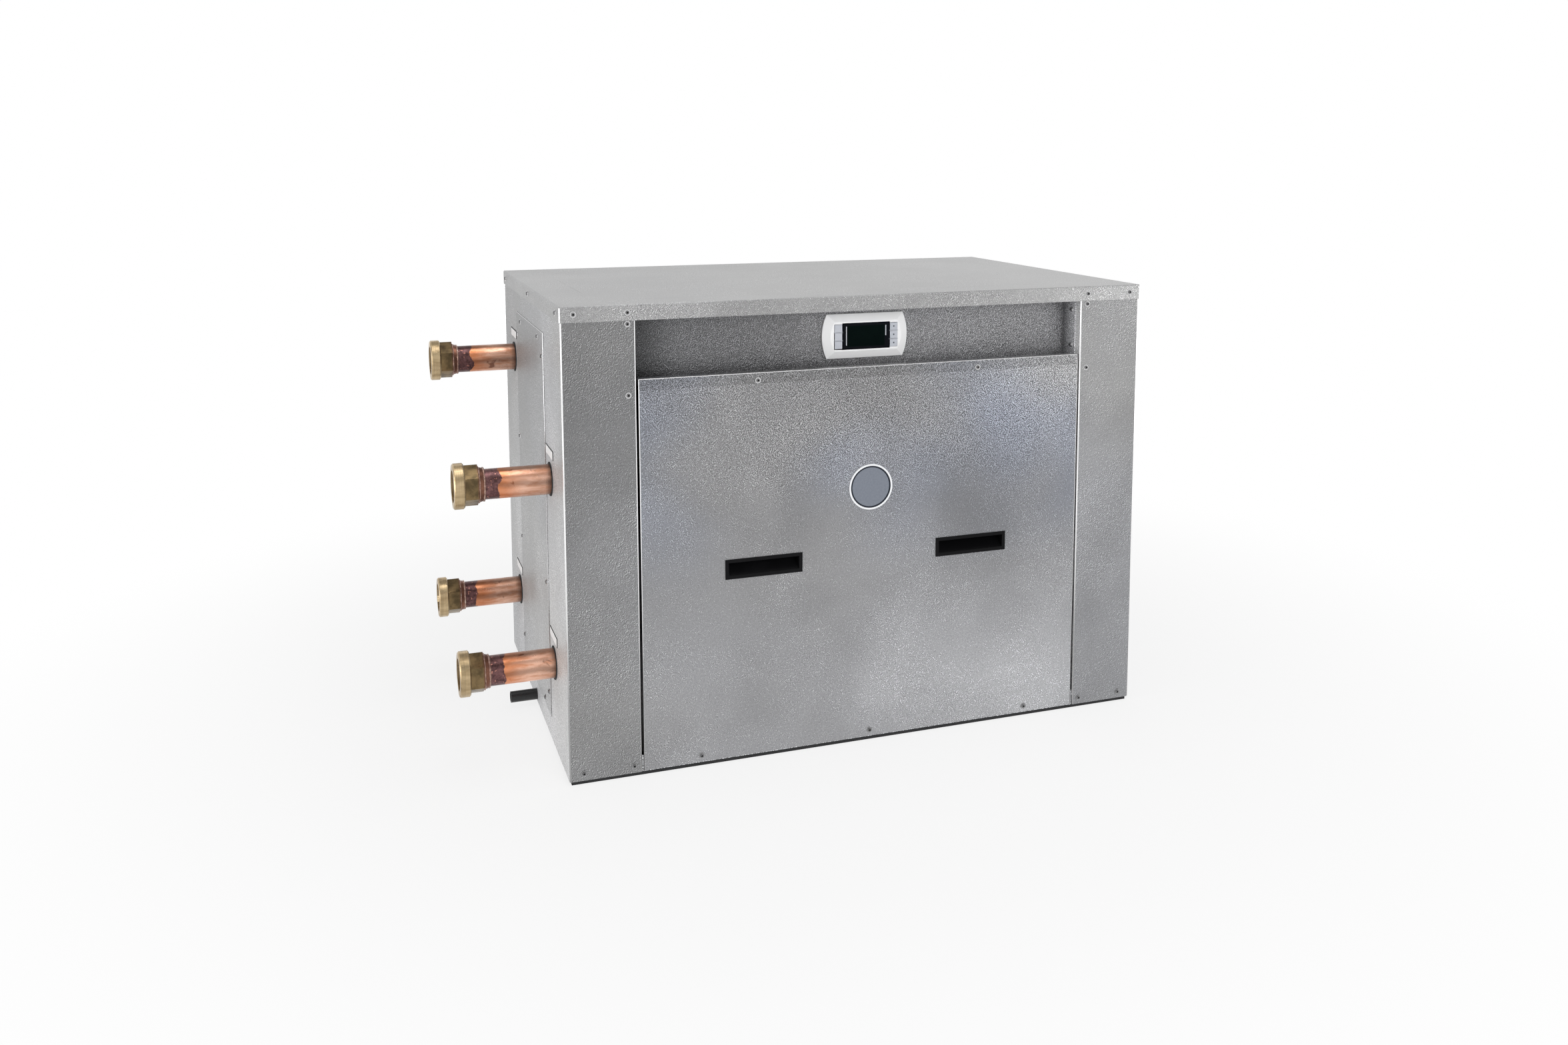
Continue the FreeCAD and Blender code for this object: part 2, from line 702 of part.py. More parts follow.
node(cut("panel", fuse("panel_folded", [panel_sheet] + panel_sides), panel_tools), "front_access_panel")


# Pull handles: a frame on the panel's face and a cup that is deepest at its top
def pull_handle(name, sign):
    centre = f"({sign}handle_spacing/2)"
    mouth = f"(-{FRONT} - handle_proud)"
    frame = box(f"{name}_frame", (f"{centre} - handle_width/2", f"{centre} + handle_width/2"),
                (mouth, f"-{FRONT}"),
                ("handle_level - handle_height/2", "handle_level + handle_height/2"))
    cup = pad(f"{name}_cup", "YZ_Plane", [
        (mouth, f"handle_level - {HANDLE_Z}"),
        (f"-{FRONT} + gauge", f"handle_level - {HANDLE_Z}"),
        (f"-{FRONT} + handle_depth", f"handle_level + {HANDLE_Z} - handle_floor"),
        (f"-{FRONT} + handle_depth", f"handle_level + {HANDLE_Z}"),
        (mouth, f"handle_level + {HANDLE_Z}"),
    ], f"{centre} - {HANDLE_X}", f"{centre} + {HANDLE_X}")
    hollow = pad(f"{name}_hollow", "YZ_Plane", [
        (f"{mouth} - gauge", f"handle_level - {HANDLE_Z} + handle_wall"),
        (f"-{FRONT}", f"handle_level - {HANDLE_Z} + handle_wall"),
        (f"-{FRONT} + handle_depth - handle_wall", f"handle_level + {HANDLE_Z} - handle_floor + handle_wall"),
        (f"-{FRONT} + handle_depth - handle_wall", f"handle_level + {HANDLE_Z} - handle_wall"),
        (f"{mouth} - gauge", f"handle_level + {HANDLE_Z} - handle_wall"),
    ], f"{centre} - {HANDLE_X} + handle_wall", f"{centre} + {HANDLE_X} - handle_wall")
    return cut(name, fuse(f"{name}_body", [frame, cup]), [hollow])


node(pull_handle("left_pull", "-"), "left_pull_handle")
node(pull_handle("right_pull", "+"), "right_pull_handle")

# Plain round badge plate with a raised rim
badge_plate = rod("badge_plate", "badge_radius", "badge_gauge", ("0", f"-{FRONT}", "badge_level"), "-y")
badge_sunk = rod("badge_sunk", "badge_radius - badge_rim", "badge_sink",
                 ("0", f"-{FRONT} - badge_gauge + badge_sink", "badge_level"), "-y")
node(cut("badge", badge_plate, [badge_sunk]), "badge_disc")
doc.recompute()
band_row = screw_group("band_row", band_screw, band_screws)
foot_row = screw_group("foot_row", short_screw, foot_screws)
node(group("panel_screws", [band_row, foot_row]), "front_panel_screws")


# Display: a bowed bezel on the recess's back, with its window, keys, board and back box
def bowed_wire(depth, inset):
    """The bezel's outline: straight top and bottom, bowed ends."""
    level = number(DISPLAY_LEVEL)
    centre = number(DISPLAY_X)
    half_width = number("display_width/2") - inset
    half_height = number("display_height/2") - inset
    bulge = number("display_bulge")
    y = number(f"{BACK} - ({depth})")

    def at(x, z):
        return FreeCAD.Vector(centre + x, y, level + z)

    top_left = at(-half_width, half_height)
    top_right = at(half_width, half_height)
    low_right = at(half_width, -half_height)
    low_left = at(-half_width, -half_height)
    return Part.Wire([
        Part.LineSegment(top_left, top_right).toShape(),
        Part.Arc(top_right, at(half_width + bulge, 0), low_right).toShape(),
        Part.LineSegment(low_right, low_left).toShape(),
        Part.Arc(low_left, at(-half_width - bulge, 0), top_left).toShape(),
    ])


def display_block(name, half_width, half_height, low, high, across="0", rise="0"):
    """A block in the display, placed from its centre and its height above the recess's back."""
    return box(name,
               (f"{DISPLAY_X} + {across} - ({half_width})", f"{DISPLAY_X} + {across} + {half_width}"),
               (f"{BACK} - ({high})", f"{BACK} - ({low})"),
               (f"{DISPLAY_LEVEL} + {rise} - ({half_height})", f"{DISPLAY_LEVEL} + {rise} + {half_height}"))


bezel_wires = [bowed_wire("0", 0), bowed_wire("display_depth - display_bevel_depth", 0),
               bowed_wire("display_depth", number("display_bevel"))]
bezel_form = shaped("bezel_form", Part.makeLoft(bezel_wires, True, True))
SKIN = "(display_depth - display_skin)"
BOARD_FACE = "(board_seat + board_gauge)"
bezel_tools = [
    display_block("bezel_cavity", "display_width/2 - display_margin", "display_height/2 - display_margin",
                  "-gauge", SKIN),
    display_block("window_hole", "window_width/2 + slack", "window_height/2 + slack",
                  "0", "display_depth + gauge"),
]
key_places = [(f"{side}_{row}_key", f"({sign}key_column)", f"({step}*key_pitch)")
              for side, sign in (("left", "-"), ("right", "+"))
              for row, step in (("top", 1), ("middle", 0), ("bottom", -1))]
for name, across, rise in key_places:
    bezel_tools.append(display_block(f"{name}_hole", "key_width/2 + slack", "key_height/2 + slack", SKIN,
                                     "display_depth + gauge", across, rise))
node(cut("bezel", bezel_form, bezel_tools), "display_bezel")
node(display_block("back_box", "box_width/2", "box_height/2", "-box_depth", "board_seat"), "display_back_box")
node(display_block("board", "display_width/2 - display_margin - slack",
                   "display_height/2 - display_margin - slack", "board_seat", BOARD_FACE), "display_board")
node(display_block("window", "window_width/2", "window_height/2", BOARD_FACE,
                   "display_depth + window_proud"), "display_window")
for name, across, rise in key_places:
    cap = display_block(f"{name}_cap", "key_width/2", "key_height/2", f"{SKIN} - slack",
                        "display_depth + key_proud", across, rise)
    flange = display_block(f"{name}_flange", "key_width/2 + key_flange", "key_height/2",
                           f"{SKIN} - slack - key_flange", f"{SKIN} - slack", across, rise)
    plunger_end = f"({BOARD_FACE} + key_travel + slack)"
    plunger = rod(f"{name}_plunger", "plunger_radius", f"{SKIN} - slack - {plunger_end}",
                  (f"{DISPLAY_X} + {across}", f"{BACK} - {plunger_end}", f"{DISPLAY_LEVEL} + {rise}"), "-y")
    node(fuse(f"{name}_solid", [cap, flange, plunger]), name)

# Water connections: a copper pipe through the wall, with a brass threaded adapter brazed on its end
PIPE_TIP = f"(-{SIDE} - pipe_reach)"
ADAPTER_LENGTH = "(flange_length + hex_length + collar_length)"
PIPE_START = f"({PIPE_TIP} + {ADAPTER_LENGTH} - socket_depth)"
EXCHANGER_LEFT = f"(-{SIDE} + exchanger_gap)"
EXCHANGER_RIGHT = f"({EXCHANGER_LEFT} + exchanger_depth)"
PIPE_BORE = "(pipe_radius - pipe_wall)"


def adapter(name, y, z):
    socket = "pipe_radius + braze_gap"
    body = revolve(f"{name}_turned", [
        ("thread_radius", "0"),
        ("flange_radius - flange_round", "0"),
        ("flange_radius", "flange_round"),
        ("flange_radius", "flange_length - flange_round"),
        ("flange_radius - flange_round", "flange_length"),
        ("collar_radius", "flange_length"),
        ("collar_radius", "flange_length + hex_length"),
        ("collar_tip", ADAPTER_LENGTH),
        (socket, ADAPTER_LENGTH),
        (socket, f"{ADAPTER_LENGTH} - socket_depth"),
        (PIPE_BORE, f"{ADAPTER_LENGTH} - socket_depth"),
        (PIPE_BORE, "thread_depth"),
        ("thread_radius", "thread_depth"),
    ], (PIPE_TIP, y, z), "x")
    hex_at = (f"{PIPE_TIP} + flange_length", y, z)
    flats = hexagon(f"{name}_hex", "hex_flats", "hex_length", hex_at, "x")
    core = rod(f"{name}_core", "collar_radius", "hex_length", hex_at, "x")
    return fuse(name, [body, cut(f"{name}_nut", flats, [core])])


for circuit, ports in WATER_PORTS.items():
    pipes = [ring(f"{circuit}_pipe_{index}", "pipe_radius", PIPE_BORE, f"{EXCHANGER_LEFT} - {PIPE_START}",
                  (PIPE_START, y, z), "x") for index, (y, z) in enumerate(ports)]
    node(group(f"{circuit}_pipe_pair", pipes), f"{circuit}_pipes")
    adapters = [adapter(f"{circuit}_adapter_{index}", y, z) for index, (y, z) in enumerate(ports)]
    node(group(f"{circuit}_adapter_pair", adapters), f"{circuit}_adapters")

grommets = []
for index, (y, z) in enumerate(ALL_PORTS):
    at = (f"-{SIDE} - gauge", y, z)
    lip = rod(f"grommet_lip_{index}", f"{HOLE_RADIUS} + grommet_flange", "gauge", at, "x")
    sleeve = rod(f"grommet_sleeve_{index}", f"{HOLE_RADIUS} - braze_gap", "grommet_length", at, "x")
    bore = rod(f"grommet_bore_{index}", "pipe_radius + braze_gap", "grommet_length", at, "x")
    grommets.append(cut(f"grommet_{index}", fuse(f"grommet_solid_{index}", [lip, sleeve]), [bore]))
node(group("grommet_set", grommets), "pipe_grommets")

tags = [box(f"tag_{index}", (f"-{SIDE} - tag_gauge", f"-{SIDE}"),
            (f"{y} - tag_width/2", f"{y} + tag_width/2"),
            (f"{z} + pipe_radius + tag_rise", f"{z} + pipe_radius + tag_rise + tag_height"))
        for index, (y, z) in enumerate(ALL_PORTS)]
node(group("tag_set", tags), "port_tags")

# Condensate drain out of the base pan
node(ring("drain", "drain_radius", "drain_radius - drain_wall", "drain_reach + drain_inside",
          (f"-{SIDE} - drain_reach", "drain_row", DRAIN_LEVEL), "x"), "drain_tube")

# Cable gland for the power supply in the right side
GLAND_INNER = (f"{SIDE} - gland_neck_length", GLAND_ROW, "gland_level")
gland_neck = rod("gland_neck", "gland_neck_radius - slack", "gland_neck_length", GLAND_INNER, "x")
gland_nut = hexagon("gland_nut", "2*gland_radius", "gland_length", (SIDE, GLAND_ROW, "gland_level"), "x")
gland_way = rod("gland_way", "gland_bore", "gland_neck_length + gland_length", GLAND_INNER, "x")
node(cut("gland", fuse("gland_solid", [gland_neck, gland_nut]), [gland_way]), "power_gland")


# Brazed-plate heat exchangers: stacked plates with water necks on the left and refrigerant necks on the right
def exchanger(circuit, inner_row, gas_level):
    ports = WATER_PORTS[circuit]
    row = ports[0][0]
    rows = (row, inner_row) if circuit == "load" else (inner_row, row)
    along = (f"{rows[0]} - port_margin", f"{rows[1]} + port_margin")
    up = ("pipe_low - port_margin", f"{gas_level} + port_margin")
    core = box(f"{circuit}_core", (EXCHANGER_LEFT, EXCHANGER_RIGHT), along, up)
    wide = [(f"{low} - exchanger_step", f"{high} + exchanger_step") for low, high in (along, up)]
    count = int(number("(exchanger_depth - plate_gauge)/plate_pitch")) + 1
    starts = [f"{EXCHANGER_LEFT} + {index}*plate_pitch" for index in range(count)]
    plates = [box(f"{circuit}_plate_{index}", (start, f"{start} + plate_gauge"), *wide)
              for index, start in enumerate(starts)]
    pieces = [core] + plates
    bores = []
    for index, (y, z) in enumerate(ports):
        neck = (f"{EXCHANGER_LEFT} - neck_length", y, z)
        pieces.append(rod(f"{circuit}_water_neck_{index}", "pipe_radius + braze_gap + neck_wall",
                          "neck_length", neck, "x"))
        bores.append(rod(f"{circuit}_water_bore_{index}", "pipe_radius + braze_gap", "neck_length",
                         neck, "x"))
        bores.append(rod(f"{circuit}_water_way_{index}", PIPE_BORE, "water_way",
                         (EXCHANGER_LEFT, y, z), "x"))
    for name, radius, level in (("gas", "line_radius", gas_level),
                                ("liquid", "liquid_radius", "pipe_low")):
        pieces.append(rod(f"{circuit}_{name}_neck", f"{radius} + braze_gap + stub_wall", "stub_length",
                          (EXCHANGER_RIGHT, inner_row, level), "x"))
        bores.append(rod(f"{circuit}_{name}_bore", f"{radius} + braze_gap", "stub_length",
                         (EXCHANGER_RIGHT, inner_row, level), "x"))
        bores.append(rod(f"{circuit}_{name}_way", f"{radius} - line_wall", "line_way",
                         (EXCHANGER_RIGHT, inner_row, level), "-x"))
    return cut(f"{circuit}_pack", fuse(f"{circuit}_stack", pieces), bores)


LOAD_INNER = f"({FRONT_ROW} + port_spacing)"
SOURCE_INNER = f"({REAR_ROW} - port_spacing)"
node(exchanger("load", LOAD_INNER, "load_top"), "load_exchanger")
node(exchanger("source", SOURCE_INNER, SOURCE_TOP), "source_exchanger")

# Folded stands under the exchangers
STAND_TOP = "(pipe_low - port_margin - exchanger_step)"
stands = []
for circuit, low, high in (("load", FRONT_ROW, LOAD_INNER), ("source", SOURCE_INNER, REAR_ROW)):
    across = (EXCHANGER_LEFT, EXCHANGER_RIGHT)
    start = f"({low} - port_margin)"
    end = f"({high} + port_margin)"
    stands.append(fuse(f"{circuit}_stand", [
        box(f"{circuit}_stand_top", across, (start, end), (f"{STAND_TOP} - stand_gauge", STAND_TOP)),
        box(f"{circuit}_leg_0", across, (start, f"{start} + stand_gauge"), (FLOOR, STAND_TOP)),
        box(f"{circuit}_leg_1", across, (f"{end} - stand_gauge", end), (FLOOR, STAND_TOP)),
        box(f"{circuit}_foot_0", across, (f"{start} - stand_foot", start), (FLOOR, f"{FLOOR} + stand_gauge")),
        box(f"{circuit}_foot_1", across, (end, f"{end} + stand_foot"), (FLOOR, f"{FLOOR} + stand_gauge")),
    ]))
node(group("stand_pair", stands), "exchanger_stands")

# Compressor mounting: feet plate on four rubber grommets, bolted to the pan
FEET = f"({FLOOR} + grommet_height)"
SHELL = f"({FEET} + feet_gauge)"
feet_plate = box("feet_plate", ("compressor_x - feet_width/2", "compressor_x + feet_width/2"),
                 ("compressor_y - feet_width/2", "compressor_y + feet_width/2"), (FEET, SHELL))
feet_holes = [rod(f"feet_hole_{index}", "bolt_radius + slack", "2*feet_gauge",
                  (x, y, f"{FEET} - feet_gauge/2"))
              for index, (x, y) in enumerate(bolt_places)]
node(cut("feet", feet_plate, feet_holes), "compressor_feet")
rubber = [ring(f"foot_grommet_{index}", "foot_grommet_radius", "bolt_radius + slack", "grommet_height",
               (x, y, FLOOR))
          for index, (x, y) in enumerate(bolt_places)]
node(group("foot_grommets", rubber), "compressor_grommets")
bolts = []
for index, (x, y) in enumerate(bolt_places):
    shank = rod(f"bolt_shank_{index}", "bolt_radius", f"{SHELL} - strip_height", (x, y, "strip_height"))
    head = hexagon(f"bolt_head_{index}", "2*bolt_head_radius", "bolt_head_height", (x, y, SHELL))
    bolts.append(fuse(f"bolt_{index}", [shank, head]))
node(group("bolt_set", bolts), "compressor_bolts")

# Compressor shell and its domed cap, welded rim to rim
SHELL_BORE = "(shell_radius - shell_wall)"
SUCTION_AT = ("compressor_x - shell_radius - stub_length", "compressor_y", f"{SHELL} + suction_level")
shell_body = revolve("shell_body", [
    ("0", "0"),
    ("shell_radius - shell_round", "0"),
    ("shell_radius", "shell_round"),
    ("shell_radius", "shell_height"),
    (SHELL_BORE, "shell_height"),
    (SHELL_BORE, "shell_round + shell_wall/2"),
    ("shell_radius - shell_round - shell_wall/2", "shell_wall"),
    ("0", "shell_wall"),
], COMPRESSOR + (SHELL,))
suction_neck = rod("suction_neck", "suction_radius + braze_gap + stub_wall", "stub_length + shell_wall/2",
                   SUCTION_AT, "x")
suction_way = rod("suction_way", "suction_radius + braze_gap", "stub_length + 2*shell_wall", SUCTION_AT, "x")
node(cut("shell", fuse("shell_solid", [shell_body, suction_neck]), [suction_way]), "compressor_shell")
CAP = f"({SHELL} + shell_height)"
CAP_TOP = f"({CAP} + cap_height)"
node(revolve("cap", [
    ("shell_radius", "0"),
    ("shell_radius", "cap_height - cap_round"),
    ("shell_radius - cap_round", "cap_height"),
    ("line_radius + braze_gap + stub_wall", "cap_height"),
    ("line_radius + braze_gap + stub_wall", "cap_height + stub_length"),
    ("line_radius + braze_gap", "cap_height + stub_length"),
    ("line_radius + braze_gap", "cap_height - shell_wall"),
    ("shell_radius - cap_round - shell_wall/2", "cap_height - shell_wall"),
    (SHELL_BORE, "cap_height - cap_round - shell_wall/2"),
    (SHELL_BORE, "0"),
], COMPRESSOR + (CAP,)), "compressor_cap")


# Inside the compressor: motor, shaft, bearing frames and the scroll pair, on one vertical axis
def level(text):
    """A place on the compressor's axis, measured up from the shell's foot."""
    return COMPRESSOR + (f"{SHELL} + {text}",)


STATOR_BORE = "(rotor_radius + air_gap)"
FIT_RADIUS = f"({SHELL_BORE} - braze_gap)"
WINDING_OUT = f"({SHELL_BORE} - winding_inset)"
winding_length = "stator_height + 2*winding_height"
stator_solid = fuse("stator_solid", [
    rod("stator_core", FIT_RADIUS, "stator_height", level("stator_level")),
    rod("stator_winding", WINDING_OUT, winding_length, level("stator_level - winding_height")),
])
node(cut("stator", stator_solid, [
    rod("stator_bore", STATOR_BORE, winding_length, level("stator_level - winding_height")),
]), "motor_stator")
CRANK = "(main_frame_level + main_bearing)"
CRANK_X = "compressor_x + orbit_radius"
node(fuse("shaft", [
    rod("shaft_bar", "shaft_radius", f"{CRANK} - shaft_foot", level("shaft_foot")),
    rod("rotor_core", "rotor_radius", "stator_height", level("stator_level")),
    rod("crank_pin", "crank_radius", "crank_length", (CRANK_X, "compressor_y", f"{SHELL} + {CRANK}")),
]), "motor_crankshaft")
HUB_RADIUS = "(crank_radius + shaft_clear + hub_wall)"
POCKET_RADIUS = f"({HUB_RADIUS} + orbit_radius + 2*slack)"
SEAT = f"({CRANK} + crank_length + 2*slack)"
JOURNAL = "shaft_radius + shaft_clear"
lower_frame = ring("lower_frame", FIT_RADIUS, JOURNAL, "frame_gauge", level("lower_frame_level"))
main_solid = rod("main_solid", FIT_RADIUS, f"{SEAT} - main_frame_level", level("main_frame_level"))
main_frame = cut("main_frame", main_solid, [
    rod("main_bore", JOURNAL, "main_bearing", level("main_frame_level")),
    rod("main_pocket", POCKET_RADIUS, "crank_length + 2*slack", level(CRANK)),
])
node(group("frames", [lower_frame, main_frame]), "bearing_frames")


def scroll_wrap(name, angle, centre, low):
    """A spiral wall of half circles; each radius is one half pitch more than the last."""
    half_pitch = number("orbit_radius + wrap_wall + wrap_clear")
    half_wall = number("wrap_wall/2")
    first_step = 1.5
    room = number("scroll_radius") - half_wall - half_pitch / 2
    count = int(room / half_pitch - first_step) + 1
    sides = []
    for offset in (half_wall, -half_wall):
        arcs = []
        for index in range(count):
            radius = half_pitch * (first_step + index) + offset
            up = -1 if index % 2 else 1
            shift = -up * half_pitch / 2
            start = FreeCAD.Vector(shift + up * radius, 0, 0)
            middle = FreeCAD.Vector(shift, up * radius, 0)
            end = FreeCAD.Vector(shift - up * radius, 0, 0)
            arcs.append(Part.Arc(start, middle, end))
        sides.append(arcs)
    outer, inner = sides
    edges = [arc.toShape() for arc in outer]
    edges.append(Part.LineSegment(outer[-1].EndPoint, inner[-1].EndPoint).toShape())
    edges += [arc.toShape() for arc in reversed(inner)]
    edges.append(Part.LineSegment(inner[0].StartPoint, outer[0].StartPoint).toShape())
    wrap = Part.Face(Part.Wire(edges)).extrude(FreeCAD.Vector(0, 0, number("wrap_height")))
    piece = shaped(name, wrap)
    middle = vector((centre, "compressor_y", low))
    piece.Placement = FreeCAD.Placement(middle, FreeCAD.Rotation(FreeCAD.Vector(0, 0, 1), angle))
    return piece


PLATE_FOOT = f"({SHELL} + {SEAT} + slack)"
WRAP_FOOT = f"({PLATE_FOOT} + scroll_plate)"
orbit_at = (CRANK_X, "compressor_y")
orbit_solid = fuse("orbit_solid", [
    rod("orbit_plate", "scroll_radius", "scroll_plate", orbit_at + (PLATE_FOOT,)),
    rod("orbit_hub", HUB_RADIUS, "crank_length", orbit_at + (f"{PLATE_FOOT} - crank_length",)),
    scroll_wrap("orbit_wrap", 180, CRANK_X, WRAP_FOOT),
])
orbit_bore = rod("orbit_bore", "crank_radius + shaft_clear", "crank_length",
                 orbit_at + (f"{PLATE_FOOT} - crank_length",))
node(cut("orbit", orbit_solid, [orbit_bore]), "orbiting_scroll")
FIXED_FOOT = f"({SHELL} + {SEAT})"
FIXED_WRAP = f"({WRAP_FOOT} + slack)"
FIXED_PLATE = f"({FIXED_WRAP} + wrap_height)"
fixed_solid = rod("fixed_solid", FIT_RADIUS, f"{FIXED_PLATE} + fixed_plate - {FIXED_FOOT}",
                  COMPRESSOR + (FIXED_FOOT,))
fixed_hollow = rod("fixed_hollow", "scroll_radius + orbit_radius + 3*slack", f"{FIXED_PLATE} - {FIXED_FOOT}",
                   COMPRESSOR + (FIXED_FOOT,))
fixed_port = rod("fixed_port", "discharge_port", "2*fixed_plate",
                 COMPRESSOR + (f"{FIXED_PLATE} - fixed_plate/2",))
fixed_cup = cut("fixed_cup", fixed_solid, [fixed_hollow, fixed_port])
node(fuse("fixed", [fixed_cup, scroll_wrap("fixed_wrap", 0, "compressor_x", FIXED_WRAP)]), "fixed_scroll")

# Terminal cover on the front of the shell
TERMINAL_Y = "(compressor_y - shell_radius)"
terminal_block = box("terminal_block", ("compressor_x - terminal_width/2", "compressor_x + terminal_width/2"),
                     (f"{TERMINAL_Y} - terminal_depth", "compressor_y"),
                     (f"{SHELL} + terminal_level", f"{SHELL} + terminal_level + terminal_height"))
shell_room = rod("shell_room", "shell_radius + braze_gap", "shell_height", COMPRESSOR + (SHELL,))
terminal_back = box("terminal_back", ("compressor_x - terminal_width", "compressor_x + terminal_width"),
                    (f"{TERMINAL_Y} + terminal_wrap", "compressor_y + terminal_depth"), (SHELL, CAP))
node(cut("terminal", terminal_block, [shell_room, terminal_back]), "terminal_cover")

# Reversing valve: a closed cylinder with one port above and three below
VALVE = ("valve_x", "compressor_y", VALVE_LEVEL)
VALVE_START = ("valve_x - valve_length/2", "compressor_y", VALVE_LEVEL)
VALVE_BORE = "(valve_radius - valve_wall)"
PORT_RISE = "(valve_radius - valve_wall/2)"
valve_ports = [("discharge", "0", "line_radius", "+"), ("load", "-valve_port_spacing", "line_radius", "-"),
               ("suction", "0", "suction_radius", "-"), ("source", "valve_port_spacing", "line_radius", "-")]
valve_pieces = [rod("valve_tube", "valve_radius", "valve_length", VALVE_START, "x")]
valve_tools = [rod("valve_bore", VALVE_BORE, "valve_length - 2*valve_wall",
                   ("valve_x - valve_length/2 + valve_wall", "compressor_y", VALVE_LEVEL), "x")]
for name, across, radius, sign in valve_ports:
    start = f"{VALVE_LEVEL} + {PORT_RISE}" if sign == "+" else f"{VALVE_LEVEL} - {PORT_RISE} - stub_length"
    at = (f"valve_x + {across}", "compressor_y", start)
    valve_pieces.append(rod(f"valve_{name}_neck", f"{radius} + braze_gap + stub_wall", "stub_length", at))
    way = (f"valve_x + {across}", "compressor_y", start if sign == "-" else VALVE_LEVEL)
    valve_tools.append(rod(f"valve_{name}_way", f"{radius} + braze_gap", f"stub_length + {PORT_RISE}", way))
node(cut("valve", fuse("valve_solid", valve_pieces), valve_tools), "reversing_valve_body")
SPOOL_LEFT = "(valve_x - valve_length/2 + valve_wall + slack)"
PISTON = f"({VALVE_BORE} - shaft_clear)"
SPOOL_SPREAD = "(valve_length - 2*valve_wall - 2*slack - piston_length - valve_port_spacing)"
SLIDE_X = "(valve_x - valve_port_spacing/2)"
SLIDE_HALF = "(valve_port_spacing/2 + slide_overlap)"
SPOOL_AT = (SPOOL_LEFT, "compressor_y", VALVE_LEVEL)
RIGHT_PISTON_AT = (f"{SPOOL_LEFT} + {SPOOL_SPREAD}", "compressor_y", VALVE_LEVEL)
node(fuse("spool", [
    rod("piston_left", PISTON, "piston_length", SPOOL_AT, "x"),
    rod("spool_bar", "spool_rod", SPOOL_SPREAD, SPOOL_AT, "x"),
    rod("piston_right", PISTON, "piston_length", RIGHT_PISTON_AT, "x"),
    box("slide_block", (f"{SLIDE_X} - {SLIDE_HALF}", f"{SLIDE_X} + {SLIDE_HALF}"),
        ("compressor_y - slide_width/2", "compressor_y + slide_width/2"),
        (f"{VALVE_LEVEL} - slide_drop", VALVE_LEVEL)),
]), "reversing_valve_spool")
coil_bar = rod("coil_bar", "coil_radius", "coil_length + valve_radius", VALVE, "-y")
valve_room = rod("valve_room", "valve_radius + braze_gap", "valve_length", VALVE_START, "x")
node(cut("coil", coil_bar, [valve_room]), "reversing_valve_coil")

# Refrigerant lines between the compressor, the valve and the exchangers
VALVE_TOP = f"({VALVE_LEVEL} + {PORT_RISE} + stub_length - line_seat)"
VALVE_FOOT = f"({VALVE_LEVEL} - {PORT_RISE} - stub_length + line_seat)"
ARCH = f"({VALVE_LEVEL} + arch_rise)"
BEND = number("line_bend")
WALL = number("line_wall")
RIGHT_SEAT = f"({EXCHANGER_RIGHT} + slack)"


def line(name, radius, points):
    return shaped(name, tube(points, number(radius), WALL, BEND))


node(line("discharge", "line_radius", [
    COMPRESSOR + (f"{CAP_TOP} + stub_length - line_seat",),
    COMPRESSOR + (ARCH,),
    ("valve_x", "compressor_y", ARCH),
    ("valve_x", "compressor_y", VALVE_TOP),
]), "discharge_line")
node(line("suction", "suction_radius", [
    ("valve_x", "compressor_y", VALVE_FOOT),
    ("valve_x", "compressor_y", f"{SHELL} + suction_level"),
    ("compressor_x - shell_radius - stub_length + line_seat", "compressor_y", f"{SHELL} + suction_level"),
]), "suction_line")
LOAD_X = "(valve_x - valve_port_spacing)"
SOURCE_X = "(valve_x + valve_port_spacing)"
load_gas = line("load_gas", "line_radius", [
    (LOAD_X, "compressor_y", VALVE_FOOT),
    (LOAD_X, "compressor_y", "load_top"),
    (LOAD_X, LOAD_INNER, "load_top"),
    (RIGHT_SEAT, LOAD_INNER, "load_top"),
])
source_gas = line("source_gas", "line_radius", [
    (SOURCE_X, "compressor_y", VALVE_FOOT),
    (SOURCE_X, "compressor_y", "load_top"),
    (SOURCE_X, SOURCE_INNER, "load_top"),
    (SOURCE_X, SOURCE_INNER, SOURCE_TOP),
    (RIGHT_SEAT, SOURCE_INNER, SOURCE_TOP),
])
node(group("gas_pair", [load_gas, source_gas]), "gas_lines")

# Liquid line with its filter drier and expansion valve, low between the exchangers
LIQUID_X = f"({EXCHANGER_RIGHT} + liquid_reach)"
DRIER_FOOT = "(drier_y - drier_length/2)"
EXPANSION_FOOT = "(expansion_y - expansion_length/2)"
LIQUID_SEAT = "liquid_radius + braze_gap"
node(revolve("drier", [
    (LIQUID_SEAT, "0"),
    (f"{LIQUID_SEAT} + stub_wall", "0"),
    ("drier_radius", "drier_taper"),
    ("drier_radius", "drier_length - drier_taper"),
    (f"{LIQUID_SEAT} + stub_wall", "drier_length"),
    (LIQUID_SEAT, "drier_length"),
], (LIQUID_X, DRIER_FOOT, "pipe_low"), "y"), "filter_drier")
EXPANSION_AT = (LIQUID_X, EXPANSION_FOOT, "pipe_low")
expansion_block = fuse("expansion_block", [
    rod("expansion_body", "expansion_radius", "expansion_length", EXPANSION_AT, "y"),
    rod("expansion_motor", "motor_radius", "motor_height",
        (LIQUID_X, "expansion_y", "pipe_low + motor_seat")),
])
expansion_way = rod("expansion_way", LIQUID_SEAT, "expansion_length", EXPANSION_AT, "y")
node(cut("expansion", expansion_block, [expansion_way]), "expansion_valve")
